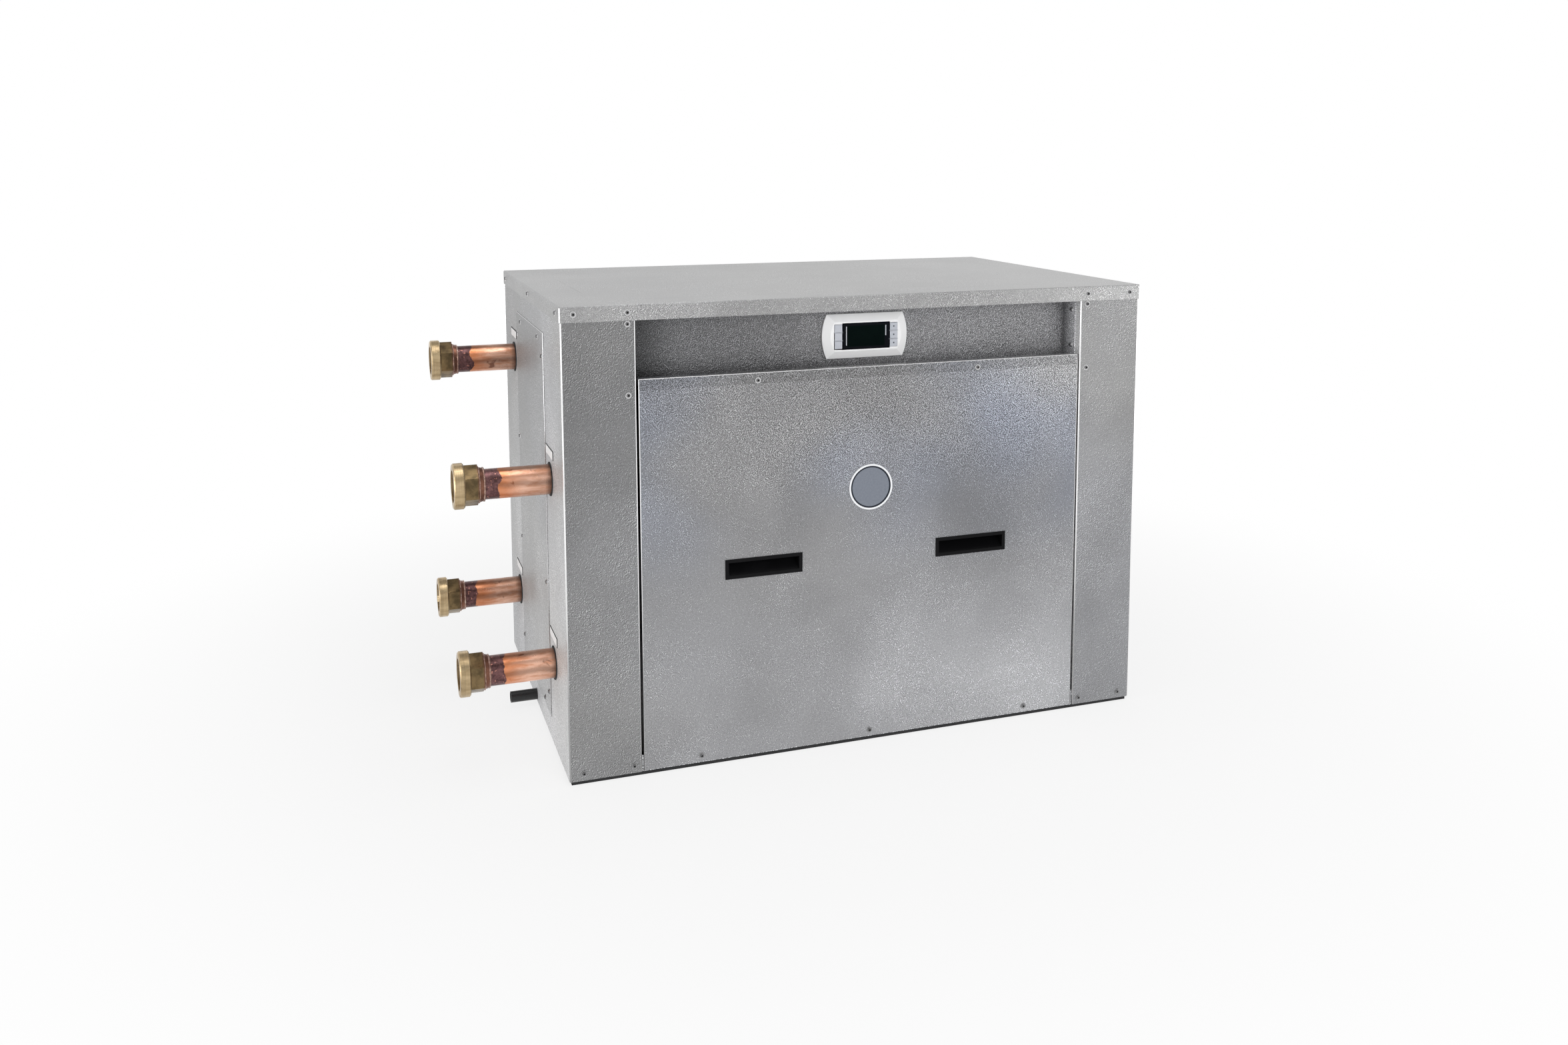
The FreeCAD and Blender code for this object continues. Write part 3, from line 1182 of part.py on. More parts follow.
liquid = [
    line("load_liquid", "liquid_radius", [
        (RIGHT_SEAT, LOAD_INNER, "pipe_low"),
        (LIQUID_X, LOAD_INNER, "pipe_low"),
        (LIQUID_X, f"{DRIER_FOOT} + line_seat", "pipe_low"),
    ]),
    ring("middle_liquid", "liquid_radius", "liquid_radius - line_wall",
         f"{EXPANSION_FOOT} - {DRIER_FOOT} - drier_length + 2*line_seat",
         (LIQUID_X, f"{DRIER_FOOT} + drier_length - line_seat", "pipe_low"), "y"),
    line("source_liquid", "liquid_radius", [
        (LIQUID_X, f"{EXPANSION_FOOT} + expansion_length - line_seat", "pipe_low"),
        (LIQUID_X, SOURCE_INNER, "pipe_low"),
        (RIGHT_SEAT, SOURCE_INNER, "pipe_low"),
    ]),
]
node(group("liquid_set", liquid), "liquid_lines")

# Electrical box hung behind the control tray, open to the front under it
ELECTRIC_FRONT = f"({BACK} + gauge)"
ELECTRIC_REAR = f"({ELECTRIC_FRONT} + electric_depth)"
electric_out = box("electric_out", ("electric_left", "electric_left + electric_width"),
                   (ELECTRIC_FRONT, ELECTRIC_REAR),
                   (ELECTRIC_BOTTOM, f"{ELECTRIC_BOTTOM} + electric_height"))
electric_in = box("electric_in", ("electric_left + gauge", "electric_left + electric_width - gauge"),
                  (f"{ELECTRIC_FRONT} - gauge", f"{ELECTRIC_REAR} - gauge"),
                  (f"{ELECTRIC_BOTTOM} + gauge", f"{ELECTRIC_BOTTOM} + electric_height - gauge"))
CONDUIT_Y = f"({ELECTRIC_FRONT} + electric_depth/2)"
CONDUIT_Z = f"({ELECTRIC_BOTTOM} + conduit_rise)"
conduit_hole = rod("conduit_hole", "conduit_radius + slack", "4*gauge",
                   ("electric_left - 2*gauge", CONDUIT_Y, CONDUIT_Z), "x")
node(cut("electric", electric_out, [electric_in, conduit_hole]), "electrical_box")

# Contactor with its moving armature, and the controller, on the box's back wall
MOUNT_WALL = f"({ELECTRIC_REAR} - gauge)"
CONTACTOR_FOOT = f"({ELECTRIC_BOTTOM} + contactor_rise)"
CONTROLLER_FOOT = f"({ELECTRIC_BOTTOM} + controller_rise)"
CONTACTOR_LEFT = "(electric_left + contactor_inset)"
CONTACTOR_X = f"({CONTACTOR_LEFT} + contactor_width/2)"
CONTACTOR_Z = f"({CONTACTOR_FOOT} + contactor_height/2)"
CONTACTOR_FACE = f"({MOUNT_WALL} - contactor_depth)"
contactor_block = box("contactor_block", (CONTACTOR_LEFT, f"{CONTACTOR_LEFT} + contactor_width"),
                      (CONTACTOR_FACE, MOUNT_WALL), (CONTACTOR_FOOT, f"{CONTACTOR_FOOT} + contactor_height"))
ARMATURE_ROOM = "(armature_size/2 + slack)"
ARMATURE_FACE = f"({CONTACTOR_FACE} - armature_proud)"
ARMATURE_REAR = f"({ARMATURE_FACE} + armature_depth)"
armature_well = box("armature_well", (f"{CONTACTOR_X} - {ARMATURE_ROOM}", f"{CONTACTOR_X} + {ARMATURE_ROOM}"),
                    (f"{CONTACTOR_FACE} - gauge", f"{ARMATURE_REAR} + armature_travel + slack"),
                    (f"{CONTACTOR_Z} - {ARMATURE_ROOM}", f"{CONTACTOR_Z} + {ARMATURE_ROOM}"))
node(cut("contactor", contactor_block, [armature_well]), "contactor_base")
node(box("armature", (f"{CONTACTOR_X} - armature_size/2", f"{CONTACTOR_X} + armature_size/2"),
         (ARMATURE_FACE, ARMATURE_REAR),
         (f"{CONTACTOR_Z} - armature_size/2", f"{CONTACTOR_Z} + armature_size/2")), "contactor_armature")
CONTROLLER_LEFT = "(electric_left + controller_inset)"
node(box("controller", (CONTROLLER_LEFT, f"{CONTROLLER_LEFT} + controller_width"),
         (f"{MOUNT_WALL} - controller_depth", MOUNT_WALL),
         (CONTROLLER_FOOT, f"{CONTROLLER_FOOT} + controller_height")), "controller_module")

# Flexible conduit from the electrical box to the compressor's terminals
conduit_points = [
    ("electric_left + gauge", CONDUIT_Y, CONDUIT_Z),
    ("compressor_x", CONDUIT_Y, CONDUIT_Z),
    ("compressor_x", f"{TERMINAL_Y} - terminal_depth/2", CONDUIT_Z),
    ("compressor_x", f"{TERMINAL_Y} - terminal_depth/2", f"{SHELL} + terminal_level + terminal_height"),
]
node(shaped("conduit", tube(conduit_points, number("conduit_radius"), number("conduit_wall"),
                            number("conduit_bend"))), "compressor_conduit")

# Check every object, then write each sub-part to its own file
doc.recompute()
for piece in doc.Objects:
    faults = {"Invalid", "Error"} & set(piece.State)
    if faults:
        raise RuntimeError(f"{piece.Name} ({piece.Label}): {faults}")
os.makedirs("parts", exist_ok=True)
for piece in nodes:
    if piece.Shape.isNull() or not piece.Shape.isValid():
        raise RuntimeError(f"{piece.Label}: bad shape")
for piece in nodes:
    piece.Shape.exportStep(f"parts/{piece.Label}.step")
    print(piece.Label, len(piece.Shape.Solids), round(piece.Shape.Volume))
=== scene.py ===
# Water-to-water heat pump, dressed piece by piece in the order in which it is put together.
# Lengths are in metres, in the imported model's frame: +Z up, the front faces -Y.
import json
import math

import bmesh
import bpy
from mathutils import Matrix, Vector

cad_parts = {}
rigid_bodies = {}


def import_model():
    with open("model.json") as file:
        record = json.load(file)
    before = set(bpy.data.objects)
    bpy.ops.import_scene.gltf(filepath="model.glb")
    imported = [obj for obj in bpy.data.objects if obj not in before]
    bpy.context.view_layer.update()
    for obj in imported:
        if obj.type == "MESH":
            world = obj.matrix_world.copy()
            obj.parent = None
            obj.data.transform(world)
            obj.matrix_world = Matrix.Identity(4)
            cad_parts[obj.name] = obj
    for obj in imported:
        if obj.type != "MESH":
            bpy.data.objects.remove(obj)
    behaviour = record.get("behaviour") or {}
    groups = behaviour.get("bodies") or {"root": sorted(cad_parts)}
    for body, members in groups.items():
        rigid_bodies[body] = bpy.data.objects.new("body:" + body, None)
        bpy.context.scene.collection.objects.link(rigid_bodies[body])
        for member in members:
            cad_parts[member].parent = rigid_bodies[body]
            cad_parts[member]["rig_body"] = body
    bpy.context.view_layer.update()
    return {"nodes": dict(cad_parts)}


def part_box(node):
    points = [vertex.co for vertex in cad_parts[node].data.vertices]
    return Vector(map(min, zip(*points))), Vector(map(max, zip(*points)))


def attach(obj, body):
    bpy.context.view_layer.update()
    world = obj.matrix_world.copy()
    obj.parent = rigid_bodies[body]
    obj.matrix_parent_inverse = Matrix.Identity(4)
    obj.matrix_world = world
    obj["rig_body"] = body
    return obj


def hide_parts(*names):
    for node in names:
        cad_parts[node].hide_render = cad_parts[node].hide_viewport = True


for leftover in list(bpy.data.objects):
    bpy.data.objects.remove(leftover)
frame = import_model()


# Base strips: flat black rubber strips, cut to length and glued under the pan.
# They keep the sheet off a wet floor, and the front one shows as a thin dark line.
def put(tree, kind, inputs=None, **settings):
    """A node with its settings, its inputs set to values or joined to other sockets."""
    made = tree.nodes.new(kind)
    for name, value in settings.items():
        setattr(made, name, value)
    for name, value in (inputs or {}).items():
        socket = made.inputs[name]
        if isinstance(value, bpy.types.NodeSocket):
            tree.links.new(value, socket)
        else:
            socket.default_value = value
    return made


def group_tree(name, inputs, outputs):
    """An empty shader group with named sockets, and its two end nodes."""
    tree = bpy.data.node_groups.new(name, "ShaderNodeTree")
    kinds = {"f": "NodeSocketFloat", "c": "NodeSocketColor", "v": "NodeSocketVector"}
    for label, kind in inputs.items():
        tree.interface.new_socket(name=label, in_out="INPUT", socket_type=kinds[kind])
    for label, kind in outputs.items():
        tree.interface.new_socket(name=label, in_out="OUTPUT", socket_type=kinds[kind])
    return tree, tree.nodes.new("NodeGroupInput").outputs, tree.nodes.new("NodeGroupOutput").inputs


def noise(tree, vector, scale, detail=2.0, roughness=0.5, distortion=0.0):
    """A cloud value between 0 and 1."""
    inputs = {"Vector": vector, "Scale": scale, "Detail": detail, "Roughness": roughness,
              "Distortion": distortion}
    return put(tree, "ShaderNodeTexNoise", inputs).outputs["Fac"]


def ease(tree, value, low, high, start=0.0, end=1.0):
    """A smooth step: as the value goes from low to high, the result goes from start to end."""
    inputs = {"Value": value, "From Min": low, "From Max": high, "To Min": start, "To Max": end}
    return put(tree, "ShaderNodeMapRange", inputs, interpolation_type="SMOOTHSTEP").outputs["Result"]


def blended(tree, amount, first, second, how="MIX"):
    """Two colours mixed by an amount."""
    inputs = {0: amount, 6: first, 7: second}
    return put(tree, "ShaderNodeMix", inputs, data_type="RGBA", blend_type=how).outputs[2]


def surface(name, plain):
    """A new material: its tree, its shader with plain socket values, and its object coordinates."""
    finish = bpy.data.materials.new(name)
    finish.use_nodes = True
    tree = finish.node_tree
    shader = tree.nodes["Principled BSDF"]
    for socket, value in plain.items():
        shader.inputs[socket].default_value = value
    return finish, tree, shader, tree.nodes.new("ShaderNodeTexCoord").outputs["Object"]


def drive(tree, shader, outputs, strength, distance):
    """Join a group's colour, roughness and height to the shader."""
    tree.links.new(outputs["Colour"], shader.inputs["Base Color"])
    tree.links.new(outputs["Roughness"], shader.inputs["Roughness"])
    bump = put(tree, "ShaderNodeBump",
               {"Height": outputs["Height"], "Strength": strength, "Distance": distance})
    tree.links.new(bump.outputs["Normal"], shader.inputs["Normal"])


def wear(finish, *nodes):
    """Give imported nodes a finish."""
    for name in nodes:
        mesh = frame["nodes"][name].data
        mesh.materials.clear()
        mesh.materials.append(finish)


grain, inside, result = group_tree(
    "moulded_grain",
    {"Vector": "v", "Colour": "c", "Worn": "c", "Grain": "f", "Smooth": "f", "Rough": "f"},
    {"Colour": "c", "Roughness": "f", "Height": "f"})
skin = noise(grain, inside["Vector"], inside["Grain"], detail=3.0, roughness=0.6)
cloud = noise(grain, inside["Vector"], 9.0, detail=4.0, roughness=0.6)
wear_and_fold_sheen = ease(grain, cloud, 0.48, 0.78)
grain.links.new(blended(grain, wear_and_fold_sheen, inside["Colour"], inside["Worn"]), result["Colour"])
spread = put(grain, "ShaderNodeMapRange",
             {"Value": cloud, "From Min": 0.3, "From Max": 0.7, "To Min": inside["Smooth"],
              "To Max": inside["Rough"]})
grain.links.new(spread.outputs["Result"], result["Roughness"])
grain.links.new(skin, result["Height"])
GRAIN_DEPTH = 0.0004


def moulded(name, colour, worn, grain_size, smooth, rough, strength, plain=None):
    """A moulded, painted or cast finish: two colours, its grain, both ends of its roughness, its bump."""
    finish, tree, shader, where = surface(name, plain or {})
    look = put(tree, "ShaderNodeGroup", node_tree=grain)
    for label, value in (("Colour", (*colour, 1)), ("Worn", (*worn, 1)), ("Grain", grain_size),
                         ("Smooth", smooth), ("Rough", rough)):
        look.inputs[label].default_value = value
    tree.links.new(where, look.inputs["Vector"])
    drive(tree, shader, look.outputs, strength, GRAIN_DEPTH)
    return finish


black_rubber = moulded("black_rubber", (0.012, 0.012, 0.013), (0.03, 0.03, 0.03), 420, 0.62, 0.85, 0.5)
wear(black_rubber, "base_strips", "compressor_grommets", "pipe_grommets")


# Base pan and folded cabinet sheets: galvanised steel rolled between patterned cylinders.
# The rolling leaves slanting ridges a few millimetres long, and the zinc shows soft clouds.
# Each sheet is cut, punched and folded in a brake, so its folds are round, a little rubbed, and painted
# bright as a highlight.
def sums(tree, how, first, second=0.0):
    """One sum of two values."""
    return put(tree, "ShaderNodeMath", {0: first, 1: second}, operation=how).outputs[0]


def vectors(tree, how, first, second=None):
    """One sum of one or two vectors: a vector, or the length that it gives."""
    inputs = {0: first} if second is None else {0: first, 1: second}
    made = put(tree, "ShaderNodeVectorMath", inputs, operation=how).outputs
    return made["Value" if how in ("DOT_PRODUCT", "DISTANCE", "LENGTH") else "Vector"]


def stretched(tree, vector, scale):
    """A vector times a value."""
    return put(tree, "ShaderNodeVectorMath", {0: vector, "Scale": scale}, operation="SCALE").outputs[0]


def either(tree, choice, first, second):
    """The first vector where the choice is 0, and the second where it is 1."""
    return put(tree, "ShaderNodeMix", {0: choice, 4: first, 5: second}, data_type="VECTOR").outputs[1]


def axes(tree, vector):
    """A vector's three parts."""
    return put(tree, "ShaderNodeSeparateXYZ", {0: vector}).outputs


def grey(tree, value):
    """A value as a grey colour."""
    return put(tree, "ShaderNodeCombineColor", {0: value, 1: value, 2: value}).outputs[0]


emboss, inside, result = group_tree(
    "embossed_zinc",
    {"Vector": "v", "Tone": "c", "Cool": "c", "Ridges": "f", "Crossing": "f", "Clouds": "f",
     "Contrast": "f", "Gloss": "f"},
    {"Colour": "c", "Roughness": "f", "Height": "f"})
facing = put(emboss, "ShaderNodeNewGeometry").outputs["True Normal"]
facing = axes(emboss, vectors(emboss, "ABSOLUTE", facing))
spot = axes(emboss, inside["Vector"])
laid = inside["Vector"]
MOSTLY = 0.72
for axis, order in (("X", "YXZ"), ("Z", "XZY")):
    turned = put(emboss, "ShaderNodeCombineXYZ", {to: spot[old] for to, old in zip("XYZ", order)}).outputs[0]
    laid = either(emboss, sums(emboss, "GREATER_THAN", facing[axis], MOSTLY), laid, turned)
ROLL_STRETCH = 0.30
slants = []
for roll in (Vector((1.0, 0.25, 1.0)), Vector((-1.0, 0.25, 1.0))):
    along = tuple(roll.normalized())
    share = sums(emboss, "MULTIPLY", vectors(emboss, "DOT_PRODUCT", laid, along), ROLL_STRETCH)
    slants.append(vectors(emboss, "SUBTRACT", laid, stretched(emboss, along, share)))
PATCH_SCALE, CLUMP_SCALE, MOTTLE_SCALE = 150.0, 210.0, 300.0
FLATTER_SCALE, CLOUD_SCALE, MIST_SCALE = 7.0, 4.2, 1.9
patch = sums(emboss, "LESS_THAN", noise(emboss, laid, PATCH_SCALE, detail=0.0), inside["Crossing"])
rolled = either(emboss, patch, *slants)
# Offsets towards the painted light, upward and to one side, one for each slant of ridge.
LIT_SIDES = (-0.0006, -0.0001, 0.0006), (0.0006, -0.0001, 0.0006)
lit_place = vectors(emboss, "ADD", rolled, either(emboss, patch, *LIT_SIDES))
worm = noise(emboss, rolled, inside["Ridges"], detail=0.0)
slope = sums(emboss, "SUBTRACT", worm, noise(emboss, lit_place, inside["Ridges"], detail=0.0))
flatter = ease(emboss, noise(emboss, inside["Vector"], FLATTER_SCALE), 0.35, 0.65, 0.5, 1.0)
clump = ease(emboss, noise(emboss, laid, CLUMP_SCALE, detail=1.0), 0.35, 0.65, 0.5, 1.4)
relief = sums(emboss, "MULTIPLY", sums(emboss, "MULTIPLY", flatter, clump), inside["Contrast"])
ridge_light = sums(emboss, "ADD", sums(emboss, "MULTIPLY", slope, relief), 0.5)
cloud = noise(emboss, inside["Vector"], CLOUD_SCALE, detail=3.0, roughness=0.55, distortion=0.4)
mist = noise(emboss, inside["Vector"], MIST_SCALE)
mottle = noise(emboss, laid, MOTTLE_SCALE)
spread = sums(emboss, "MULTIPLY", sums(emboss, "SUBTRACT", mottle, 0.5), inside["Contrast"])
cool = sums(emboss, "MULTIPLY", ease(emboss, mist, 0.34, 0.58), inside["Clouds"])
zinc = blended(emboss, cool, inside["Tone"], inside["Cool"])
# Painted light and shade on the ridges: lighter on the side facing the light, darker on the other, and the
# brightest painted up into glints.
for value, low, high, dark, light in ((ridge_light, 0.14, 0.5, 0.50, 0.96), (ridge_light, 0.5, 0.86, 1.0, 2.2),
                                      (spread, -0.5, 0.5, 0.80, 1.20), (cloud, 0.3, 0.7, 0.88, 1.12)):
    zinc = blended(emboss, 1.0, zinc, grey(emboss, ease(emboss, value, low, high, dark, light)), "MULTIPLY")
emboss.links.new(zinc, result["Colour"])
worn = ease(emboss, cloud, 0.3, 0.7, -0.05, 0.07)
emboss.links.new(sums(emboss, "ADD", inside["Gloss"], worn), result["Roughness"])
emboss.links.new(sums(emboss, "MULTIPLY", worm, relief), result["Height"])
RIDGE_SCALE, RIDGE_BUMP, RIDGE_DEPTH = 590.0, 0.5, 0.0005


def zinc_sheet(name, tone, cool, crossing=0.5, clouds=0.5, contrast=3.8, gloss=0.36, metal=0.45):
    """An embossed zinc finish: the material, its tree, shader, coordinates and look."""
    finish, tree, shader, where = surface(name, {"Metallic": metal})
    look = put(tree, "ShaderNodeGroup", node_tree=emboss)
    for label, value in (("Tone", (*tone, 1)), ("Cool", (*cool, 1)), ("Ridges", RIDGE_SCALE),
                         ("Crossing", crossing), ("Clouds", clouds), ("Contrast", contrast),
                         ("Gloss", gloss)):
        look.inputs[label].default_value = value
    tree.links.new(where, look.inputs["Vector"])
    drive(tree, shader, look.outputs, RIDGE_BUMP, RIDGE_DEPTH)
    return finish, tree, shader, where, look


def scaled(tree, shader, amount):
    """Scale a finish's colour by a value."""
    base = shader.inputs["Base Color"].links[0].from_socket
    tree.links.new(blended(tree, 1.0, base, grey(tree, amount), "MULTIPLY"), shader.inputs["Base Color"])


def graded(tree, shader, where, axis, low, high, start, end):
    """Scale a finish's colour along one axis."""
    scaled(tree, shader, ease(tree, axes(tree, where)[axis], low, high, start, end))


# Fold finish: a painted highlight on the round folds, over some real rubbing, dimmed by painted shade
# towards the floor.
fold_highlight, tree, shader, where = surface("fold_highlight", {"Metallic": 1.0})
fold_sheen_noise = noise(tree, where, 160.0, detail=3.0)
wear_and_fold_sheen = blended(tree, fold_sheen_noise, (0.98, 0.98, 0.98, 1), (0.86, 0.86, 0.87, 1))
tree.links.new(wear_and_fold_sheen, shader.inputs["Base Color"])
LOW_SHADE_UNTIL, FULL_LIGHT_FROM = 0.10, 0.42
graded(tree, shader, where, "Z", LOW_SHADE_UNTIL, FULL_LIGHT_FROM, 0.42, 1.0)
tree.links.new(ease(tree, fold_sheen_noise, 0.3, 0.7, 0.16, 0.30), shader.inputs["Roughness"])
MERGE, NARROW, LEVEL, SMALL_FACE = 2e-6, 2.5, 0.15, 0.0003
FLAT_TURN, FOLD_TURN, SHARP_TURN = math.radians(0.5), math.radians(35), math.radians(28)


def rounded_copy(node, finish, fold, rim, shortest=0.012, edge_finish=None, upright=False, smooth=False):
    """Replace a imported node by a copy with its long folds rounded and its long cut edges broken."""
    source = frame["nodes"][node]
    form = bmesh.new()
    form.from_mesh(source.data)
    bmesh.ops.remove_doubles(form, verts=form.verts, dist=MERGE)
    bmesh.ops.dissolve_limit(form, angle_limit=FLAT_TURN, verts=form.verts, edges=form.edges)
    for face in form.faces:
        face.material_index = 0
    passes = (True, True, fold, 4), (True, False, fold / 3, 3), (False, True, rim, 1)
    for wide, outer, offset, steps in passes:
        chosen = []
        for edge in form.edges:
            if len(edge.link_faces) != 2 or edge.calc_length() < shortest:
                continue
            if edge.calc_face_angle() < FOLD_TURN:
                continue
            widths = [face.calc_area() / max(side.calc_length() for side in face.edges)
                      for face in edge.link_faces]
            if (min(widths) > NARROW * fold) == wide and edge.is_convex == outer:
                chosen.append(edge)
        bmesh.ops.bevel(form, geom=chosen, offset=offset, offset_type="OFFSET", segments=steps,
                        profile=0.5, affect="EDGES", clamp_overlap=not (wide and outer),
                        material=1 if edge_finish and outer else 0)
    for face in form.faces:
        if upright and abs(face.normal.z) > LEVEL:
            face.material_index = 0
        face.smooth = smooth and face.calc_area() < SMALL_FACE
    mesh = bpy.data.meshes.new(f"{node}_dressed")
    form.to_mesh(mesh)
    form.free()
    mesh.materials.append(finish)
    if edge_finish:
        mesh.materials.append(edge_finish)
    if smooth:
        mesh.set_sharp_from_angle(angle=SHARP_TURN)
    piece = bpy.data.objects.new(f"{node}_dressed", mesh)
    bpy.context.scene.collection.objects.link(piece)
    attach(piece, source["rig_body"])
    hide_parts(node)


FOLD, RIM = 0.0024, 0.0004
ZINC, COOL_ZINC = (0.42, 0.42, 0.42), (0.375, 0.385, 0.42)
POST_GLEAM, SIDE_HEAD, SIDE_REAR, SIDE_CONTRAST = 1.8, 1.04, 0.80, 1.3
GRADE_FOOT, GRADE_HEAD = 0.1, 0.75
POST_SKIN, EDGE_SKIN, SKIN_END = 0.0005, 0.0012, 0.0025
for sheet, foot, head, side_foot, post_contrast, clouds in (
        ("left_side_panel", 0.62, 0.46, 1.52, 1.2, 0.3), ("right_side_panel", 0.67, 0.73, 1.0, 1.0, 0.45)):
    finish, tree, shader, where, look = zinc_sheet(
        f"{sheet}_zinc", ZINC, COOL_ZINC, crossing=0.22, clouds=clouds, gloss=0.50, metal=0.35)
    inner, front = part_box(sheet)[0].xy
    # Painted light and shade: the front post is painted a different tone from the side, each graded with
    # height, the sheet darker towards the rear, and the right post's inner edge painted brighter as a gleam.
    spot = axes(tree, where)
    post_tone = ease(tree, spot["Z"], GRADE_FOOT, GRADE_HEAD, foot, head)
    side_tone = ease(tree, spot["Z"], GRADE_FOOT, GRADE_HEAD, side_foot, SIDE_HEAD)
    scaled(tree, shader, ease(tree, spot["Y"], front + POST_SKIN, front + SKIN_END, post_tone, side_tone))
    contrast = ease(tree, spot["Y"], front + POST_SKIN, front + SKIN_END, post_contrast, SIDE_CONTRAST)
    tree.links.new(contrast, look.inputs["Contrast"])
    graded(tree, shader, where, "Y", front, -front, 1.0, SIDE_REAR)
    gleam = POST_GLEAM if inner > 0 else 1.0
    graded(tree, shader, where, "X", inner + EDGE_SKIN, inner + SKIN_END, gleam, 1.0)
    rounded_copy(sheet, finish, FOLD, RIM, edge_finish=fold_highlight)
hidden_zinc = zinc_sheet("hidden_zinc", ZINC, COOL_ZINC)[0]
wear(hidden_zinc, "base_pan")
rounded_copy("rear_panel", hidden_zinc, FOLD, RIM, edge_finish=fold_highlight)

# Top cover: one sheet with its four edges folded down and closed at the corners.
# Rolling leaves its face nearly flat, and a packing frame has left a thin rounded mark on it.
finish, tree, shader, where, look = zinc_sheet(
    "lid_zinc", (0.37, 0.37, 0.37), (0.34, 0.34, 0.35), clouds=0.3)
low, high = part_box("top_cover")
FLANGE_TOP, FACE_LEVEL = high.z - 0.003, high.z - 0.001
spot = axes(tree, where)
tree.links.new(ease(tree, spot["Z"], FLANGE_TOP, FACE_LEVEL, 1.05, 0.8), look.inputs["Contrast"])
# Painted light and shade: the folded-down flange is painted darker than the face, most at its left end, and
# the whole sheet lighter towards the right.
flange_tone = ease(tree, spot["X"], 0.0, high.x, 0.86, 1.06)
graded(tree, shader, where, "Z", FLANGE_TOP, FACE_LEVEL, flange_tone, 1.0)
graded(tree, shader, where, "X", 0.0, high.x, 1.0, 1.12)
MARK_INSET, MARK_RADIUS, MARK_WIDTH, MARK_TONE = 0.075, 0.10, 0.0016, 0.72
half = (high - low) / 2
corner = (half.x - MARK_INSET - MARK_RADIUS, half.y - MARK_INSET - MARK_RADIUS, 1.0)
apart = vectors(tree, "SUBTRACT", vectors(tree, "ABSOLUTE", where), corner)
apart = vectors(tree, "LENGTH", vectors(tree, "MAXIMUM", apart, (0, 0, 0)))
line = sums(tree, "ABSOLUTE", sums(tree, "SUBTRACT", apart, MARK_RADIUS))
mark = ease(tree, line, 0.0, MARK_WIDTH, MARK_TONE, 1.0)
scaled(tree, shader, ease(tree, noise(tree, where, 9.0, detail=3.0), 0.4, 0.6, 1.0, mark))
SMEAR_STRETCH, SMEAR_TONE = (6.0, 60.0, 1.0), 0.91
smear = noise(tree, vectors(tree, "MULTIPLY", where, SMEAR_STRETCH), 1.0, detail=4.0, roughness=0.6)
scaled(tree, shader, ease(tree, smear, 0.58, 0.75, 1.0, SMEAR_TONE))
rounded_copy("top_cover", finish, FOLD, RIM, edge_finish=fold_highlight, upright=True)

# Control tray: a folded trough let in under the lid, which holds the display.
# It is the same sheet, painted darker as shade under the lid, darkest at its left end, with its right end
# wall painted lighter towards the front.
finish, tree, shader, where, look = zinc_sheet(
    "tray_zinc", (0.190, 0.190, 0.196), (0.167, 0.173, 0.183), crossing=0.45, clouds=0.3)
low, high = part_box("control_tray")
SHADE_START, SHADE_END, WALL_START, WALL_END = low.x + 0.01, low.x + 0.10, high.x - 0.006, high.x - 0.003
spot = axes(tree, where)
tree.links.new(ease(tree, spot["X"], low.x, high.x, 2.0, 3.2), look.inputs["Contrast"])
# Painted shade: darker at the left end and towards the left, and the right end wall painted lighter towards
# the front.
graded(tree, shader, where, "X", SHADE_START, SHADE_END, 0.36, 1.0)
graded(tree, shader, where, "X", low.x, high.x, 0.72, 1.16)
end_wall = ease(tree, spot["X"], WALL_START, WALL_END)
outer = ease(tree, spot["Y"], high.y, low.y, -0.2, 1.9)
scaled(tree, shader, sums(tree, "ADD", sums(tree, "MULTIPLY", end_wall, outer), 1.0))
rounded_copy("control_tray", finish, FOLD, RIM)

# Side access panel: a flat plate screwed over a window, for reaching the pipe joints inside.
# It is cut from the same sheet as the sides.
finish, tree, shader, where = zinc_sheet(
    "access_zinc", (0.365, 0.365, 0.365), (0.33, 0.34, 0.365), crossing=0.3, clouds=0.3,
    contrast=SIDE_CONTRAST, gloss=0.50, metal=0.35)[:4]
low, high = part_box("side_access_panel")
GRADE_INSET = 0.1
# Painted light and shade: the plate is painted lighter towards its foot and darker towards the rear.
graded(tree, shader, where, "Z", low.z + GRADE_INSET, high.z - GRADE_INSET, 1.34, 0.97)
graded(tree, shader, where, "Y", front, -front, 1.0, SIDE_REAR)
rounded_copy("side_access_panel", finish, FOLD, RIM, edge_finish=fold_highlight)

# Cabinet and panel screws: zinc-plated screws with a washer face and a hexagon socket.
# They are turned and rolled, all alike, and a dark disc on each socket's floor paints the shade inside it.
plated_zinc, tree, shader, where = surface("plated_zinc", {"Metallic": 1.0})
scuff = noise(tree, where, 700.0, detail=3.0)
scuffed = blended(tree, scuff, (0.80, 0.80, 0.80, 1), (0.55, 0.55, 0.56, 1))
tree.links.new(scuffed, shader.inputs["Base Color"])
# Painted shade: the washers are painted darker near the floor.
graded(tree, shader, where, "Z", LOW_SHADE_UNTIL, FULL_LIGHT_FROM, 0.5, 1.0)
tree.links.new(ease(tree, scuff, 0.3, 0.7, 0.18, 0.34), shader.inputs["Roughness"])
dull_zinc = moulded("dull_zinc", (0.24, 0.24, 0.245), (0.17, 0.17, 0.17), 900, 0.3, 0.45, 0.2,
                    {"Metallic": 0.9})
socket_shade = moulded("socket_shade", (0.01, 0.01, 0.01), (0.03, 0.028, 0.025), 900, 0.6, 0.8, 0.3)


